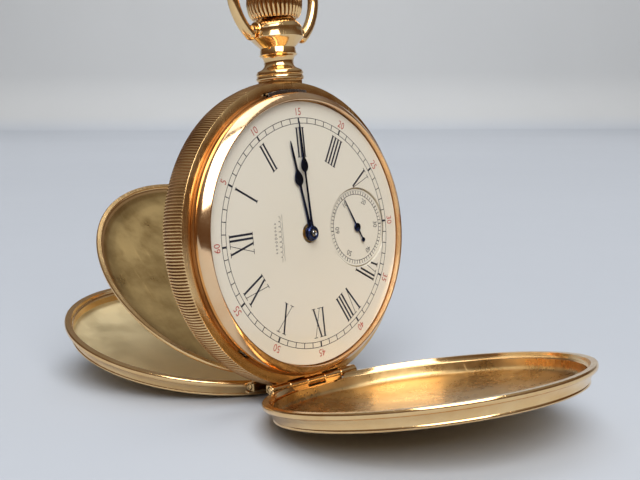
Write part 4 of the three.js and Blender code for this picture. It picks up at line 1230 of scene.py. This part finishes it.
def build_barrel(pitch):
    drum = lathe_data(rounded([(1.35, -1.3), (9.5, -1.3), (9.5, 0.9), (9.0, 0.9), (9.0, -0.95),
                               (1.35, -0.95)], 0.08, 2), 160)
    teeth = prism_data(gear_outline(78, pitch, bearing("barrel", "centre")), 0.85, 1.35,
                       [circle(9.05, 120)])
    piece("barrel_drum", at(merged(drum, teeth), "barrel"), brass, "barrel", "brass",
          "mainspring_barrel")
    lid = lathe_data([(1.35, 1.05), (8.65, 1.05), (8.7, 1.1), (8.7, 1.3), (8.6, 1.35), (2.6, 1.35),
                      (2.5, 1.25), (1.35, 1.25)], 128)
    piece("barrel_lid", at(lid, "barrel"), brass, "barrel", "brass", "barrel_cover")
    spring = at(ribbon_data(4.1, 8.4, 4, 0.3, -0.85, 0.95), "barrel")
    piece("mainspring_coil", spring, spring_blue, "barrel", "steel", "mainspring")
    arbor = merged(disc_data(2.6, -0.85, 0.95, 64, 0.1), disc_data(1.2, -1.9, 3.0, 48, 0.1))
    piece("barrel_arbor_turned", at(arbor, "barrel"), steel, "ratchet", "steel", "barrel_arbor")


def ribbon_data(r0, r1, turns, width, v0, v1, per_turn=72):
    """A spiral strip."""
    n = turns * per_turn
    outer, inner = [], []
    for i in range(n + 1):
        a = 2 * math.pi * turns * i / n
        r = r0 + (r1 - r0) * i / n
        for loop, offset in ((outer, width / 2), (inner, -width / 2)):
            loop.append(((r + offset) * math.cos(a), (r + offset) * math.sin(a)))
    return prism_data(outer + inner[::-1], v0, v1)


def build_motion_work():
    mesh = bearing("centre", "minute_wheel")
    tube = [(0.3, -5.6), (0.42, -5.68), (0.49, -5.62), (0.49, -2.9), (0.3, -2.9)]
    cannon = merged(wheel_data(12, 0.8, -3.0, -2.66, mesh, bore=0.3), lathe_data(tube, 40))
    piece("cannon_tube", cannon, steel, "center", "steel", "cannon_pinion")
    minute = merged(wheel_data(36, 2.4, -2.96, -2.7, mesh + math.pi, gap=True),
                    wheel_data(10, 0.64, -3.5, -2.9, mesh + math.pi, gap=True))
    piece("minute_wheel_toothed", at(minute, "minute_wheel"), brass, "minute_wheel", "brass",
          "minute_wheel")
    hour = merged(wheel_data(40, 2.56, -3.46, -3.12, mesh, bore=0.6),
                  lathe_data([(0.6, -5.02), (0.9, -5.02), (0.9, -3.2), (0.6, -3.2)], 40))
    piece("hour_wheel_toothed", hour, brass, "hour", "brass", "hour_wheel")


# ---------------------------------------------------------------- movement: balance, winding
def build_balance():
    rim = lathe_data(rounded([(6.75, 0.72), (7.5, 0.72), (7.5, 1.42), (6.75, 1.42)], 0.08, 2), 160)
    arm = prism_data(rounded([(-7.0, -0.5), (-1.6, -0.42), (0, -1.1), (1.6, -0.42), (7.0, -0.5),
                              (7.0, 0.5), (1.6, 0.42), (0, 1.1), (-1.6, 0.42), (-7.0, 0.5)], 0.3),
                     0.72, 1.05, [circle(0.48, 24)])
    piece("balance_rim", at(merged(rim, arm), "balance"), brass, "balance", "gilt_brass",
          "balance_wheel")
    staff = merged(disc_data(0.4, -1.9, 1.95, 32), disc_data(0.12, 1.9, 2.9, 16))
    piece("balance_staff_turned", at(staff, "balance"), steel, "balance", "steel", "balance_staff")
    roller = disc_data(0.95, -1.3, -0.8, 48, 0.06, bore=0.46)
    piece("roller_table", at(roller, "balance"), steel, "balance", "steel", "roller")
    coil = at(ribbon_data(0.9, 4.2, 9, 0.1, 1.6, 1.8), "balance")
    piece("hairspring_coil", coil, spring_blue, "case", "blued_steel", "hairspring")
    pointer = [(1.75, -0.5), (3.6, -0.22), (5.6, -0.25), (6.3, 0), (5.6, 0.25), (3.6, 0.22), (1.75, 0.5)]
    index = merged(disc_data(1.85, 3.16, 3.42, 64, 0.05, bore=1.15),
                   prism_data(rounded(pointer, 0.15), 3.16, 3.42))
    index = at(moved(index, turn=-235 * DEG), "balance")
    piece("regulator_index", index, steel, "regulator", "steel", "regulator", bevel=0.04)


def build_winding():
    crown_pitch = 4.8
    mesh = bearing("barrel", "crown_wheel")
    ratchet = wheel_data(54, apart("barrel", "crown_wheel") - crown_pitch, 3.06, 3.6, mesh, bore=0.75)
    piece("ratchet_wheel_toothed", at(ratchet, "barrel"), steel_turned, "ratchet", "steel",
          "ratchet_wheel", bevel=0.05)
    crown = merged(wheel_data(36, crown_pitch, 3.06, 3.6, mesh + math.pi, gap=True, bore=0.75),
                   disc_data(4.4, 2.4, 3.1, 72, 0.05, bore=0.75),
                   disc_data(4.4, 1.96, 2.5, 72, 0.05, bore=3.35))
    piece("crown_wheel_toothed", at(crown, "crown_wheel"), steel_turned, "crown_wheel", "steel",
          "crown_wheel")
    square = [(0.74, 0), (0, 0.74), (-0.74, 0), (0, -0.74)]
    verts, faces = prism_data(gear_outline(16, 1.7, math.pi / 2), 13.6, 16.0, [square])
    upright = [(x, -z, y) for x, y, z in verts], faces
    piece("winding_pinion_toothed", upright, steel, "winding_pinion", "steel", "winding_pinion")
    click_at = on_circle(18.4, 176)
    out = math.atan2(TRAIN["barrel"][1] - click_at[1], TRAIN["barrel"][0] - click_at[0])
    shape = [(0, 1.1), (1.6, 1.0), (2.2, 0.2), (1.6, -0.8), (0, -1.1), (-0.8, -0.8), (-1.1, 0),
             (-0.8, 0.8)]
    click = prism_data(rounded(shape, 0.2, 2), 3.06, 3.5, [circle(0.4, 24)])
    click = at(moved(click, turn=-(out + 60 * DEG)), click_at)
    piece("click_pawl", click, steel, "click", "steel", "click", bevel=0.05)
    spring = prism_data(arc_outline(19.9, 20.2, 150, 196, 50), 3.06, 3.4)
    piece("click_spring_wire", spring, spring_blue, "case", "steel", "click_spring", bevel=0.04)


# ---------------------------------------------------------------- stage
VIEW_YAW = 45.56 * DEG
TABLE_DEPTH = 2.1
TABLE_HALF_WIDTH = 3.0
WALL_HEIGHT = 0.6
COVE_R = 0.12


def backdrop_material():
    """A pale bluish cloth on the table, passing into a paler grey wall."""
    n = Surface("pale_backdrop")
    soft = n.noise(3.0, 3.0, 0.5)
    cloth = n.ramp(soft, [(0.3, (0.465, 0.505, 0.570)), (0.7, (0.485, 0.525, 0.590))])
    wall = n.ramp(soft, [(0.3, (0.500, 0.522, 0.545)), (0.7, (0.520, 0.542, 0.565))])
    raised = n.remap(n.height(n.add("NewGeometry").outputs["Position"]), 0.0, 1.0, 0.0, 0.03)
    return n.finished(n.mix(raised, cloth, wall), n.remap(n.noise(60.0, 2.0), 0.74, 0.80),
                      Specular_IOR_Level=0.25)


def build_stage():
    """A pale table that turns up into a pale wall, square to the view."""
    path = [(-1.6, 0.0), (TABLE_DEPTH - COVE_R, 0.0)]
    for i in range(1, 17):
        a = math.pi / 2 * i / 16
        path.append((TABLE_DEPTH - COVE_R + COVE_R * math.sin(a), COVE_R - COVE_R * math.cos(a)))
    path.append((TABLE_DEPTH, WALL_HEIGHT))
    verts = [(x, y, z) for y, z in path for x in (-TABLE_HALF_WIDTH, TABLE_HALF_WIDTH)]
    faces = [(2 * i, 2 * i + 1, 2 * i + 3, 2 * i + 2) for i in range(len(path) - 1)]
    mesh = bpy.data.meshes.new("backdrop")
    mesh.from_pydata(verts, [], faces)
    mesh.materials.append(backdrop_material())
    for face in mesh.polygons:
        face.use_smooth = True
    backdrop = linked("backdrop", mesh)
    backdrop.matrix_world = Matrix.Rotation(-VIEW_YAW, 4, "Z")


KEY_POWER = 36.0
CEILING_POWER = 6.0
WASH_POWER = 10.5
DAYLIGHT = (1.0, 0.985, 0.955)
ROOM_LOW = (0.10, 0.055, 0.028)
ROOM_MIDDLE = (0.13, 0.085, 0.055)
ROOM_HIGH = (0.26, 0.25, 0.24)


def area_light(name, place, target, size, power, colour, height=None, spread=180):
    data = bpy.data.lights.new(name, "AREA")
    data.shape = "RECTANGLE"
    data.size = size
    data.size_y = height or size
    data.energy = power
    data.color = colour
    data.spread = spread * DEG
    obj = linked(name, data)
    obj.location = place
    obj.rotation_mode = "QUATERNION"
    obj.rotation_quaternion = (Vector(target) - Vector(place)).to_track_quat("-Z", "Y")


def build_light():
    aim = (0, 0, 0.03)
    area_light("key", (-0.70, -0.98, 1.28), aim, 1.5, KEY_POWER, DAYLIGHT, 1.4)
    area_light("ceiling", (0.1, 0.1, 1.3), aim, 1.0, CEILING_POWER, (0.97, 0.985, 1.0))
    area_light("wall_wash", (0.3, 0.3, 2.2), (1.5, 1.47, 0.1), 1.4, WASH_POWER, DAYLIGHT, spread=80)
    bpy.context.scene.view_settings.view_transform = "Standard"
    world = bpy.data.worlds.new("room")
    bpy.context.scene.world = world
    world.use_nodes = True
    n = Nodes(world.node_tree)
    up = n.height(n.add("TexCoord").outputs["Generated"])
    room = n.ramp(up, [(0.02, ROOM_LOW), (0.30, ROOM_MIDDLE), (0.62, ROOM_HIGH)])
    n.link(n.fed(room, "Background", Strength=1.0), n.add("OutputWorld").inputs["Surface"])


CAMERA_PLACE = (-0.12971, -0.13127, 0.05134)
CAMERA_FORWARD = (0.70818, 0.69459, -0.12659)
CAMERA_RIGHT = (0.69997, -0.71417, -0.00275)
LENS = 59.4


def build_camera():
    data = bpy.data.cameras.new("camera")
    data.lens = LENS
    data.sensor_width = 36
    data.clip_start = 0.005
    camera = linked("camera", data)
    forward = Vector(CAMERA_FORWARD).normalized()
    right = Vector(CAMERA_RIGHT)
    right = (right - forward * right.dot(forward)).normalized()
    axes = Matrix((right, right.cross(forward), -forward)).transposed().to_4x4()
    camera.matrix_world = Matrix.Translation(CAMERA_PLACE) @ axes
    bpy.context.scene.camera = camera


build_case()
build_bezel()
build_crystal()
# The front lid's inside takes the darker gold: painted shade.
build_cover("front_lid", -1, FRONT_LEAVES, FRONT_HINGE, FRONT_LID, gold_inner_shaded, 25.2)
build_cover("back_cover", 1, BACK_LEAVES, BACK_HINGE, BACK_COVER, gold_matte, 24.9)
build_cuvette()
build_hinge_pins()
build_pendant()
build_bow()
build_crown()
build_stem()
build_case_springs()
build_dial()
build_ornament()
build_seconds_dial()
build_hands()
build_plates()
build_screws()
build_jewels()
build_going_train()
build_balance()
build_winding()
build_stage()
build_light()
build_camera()
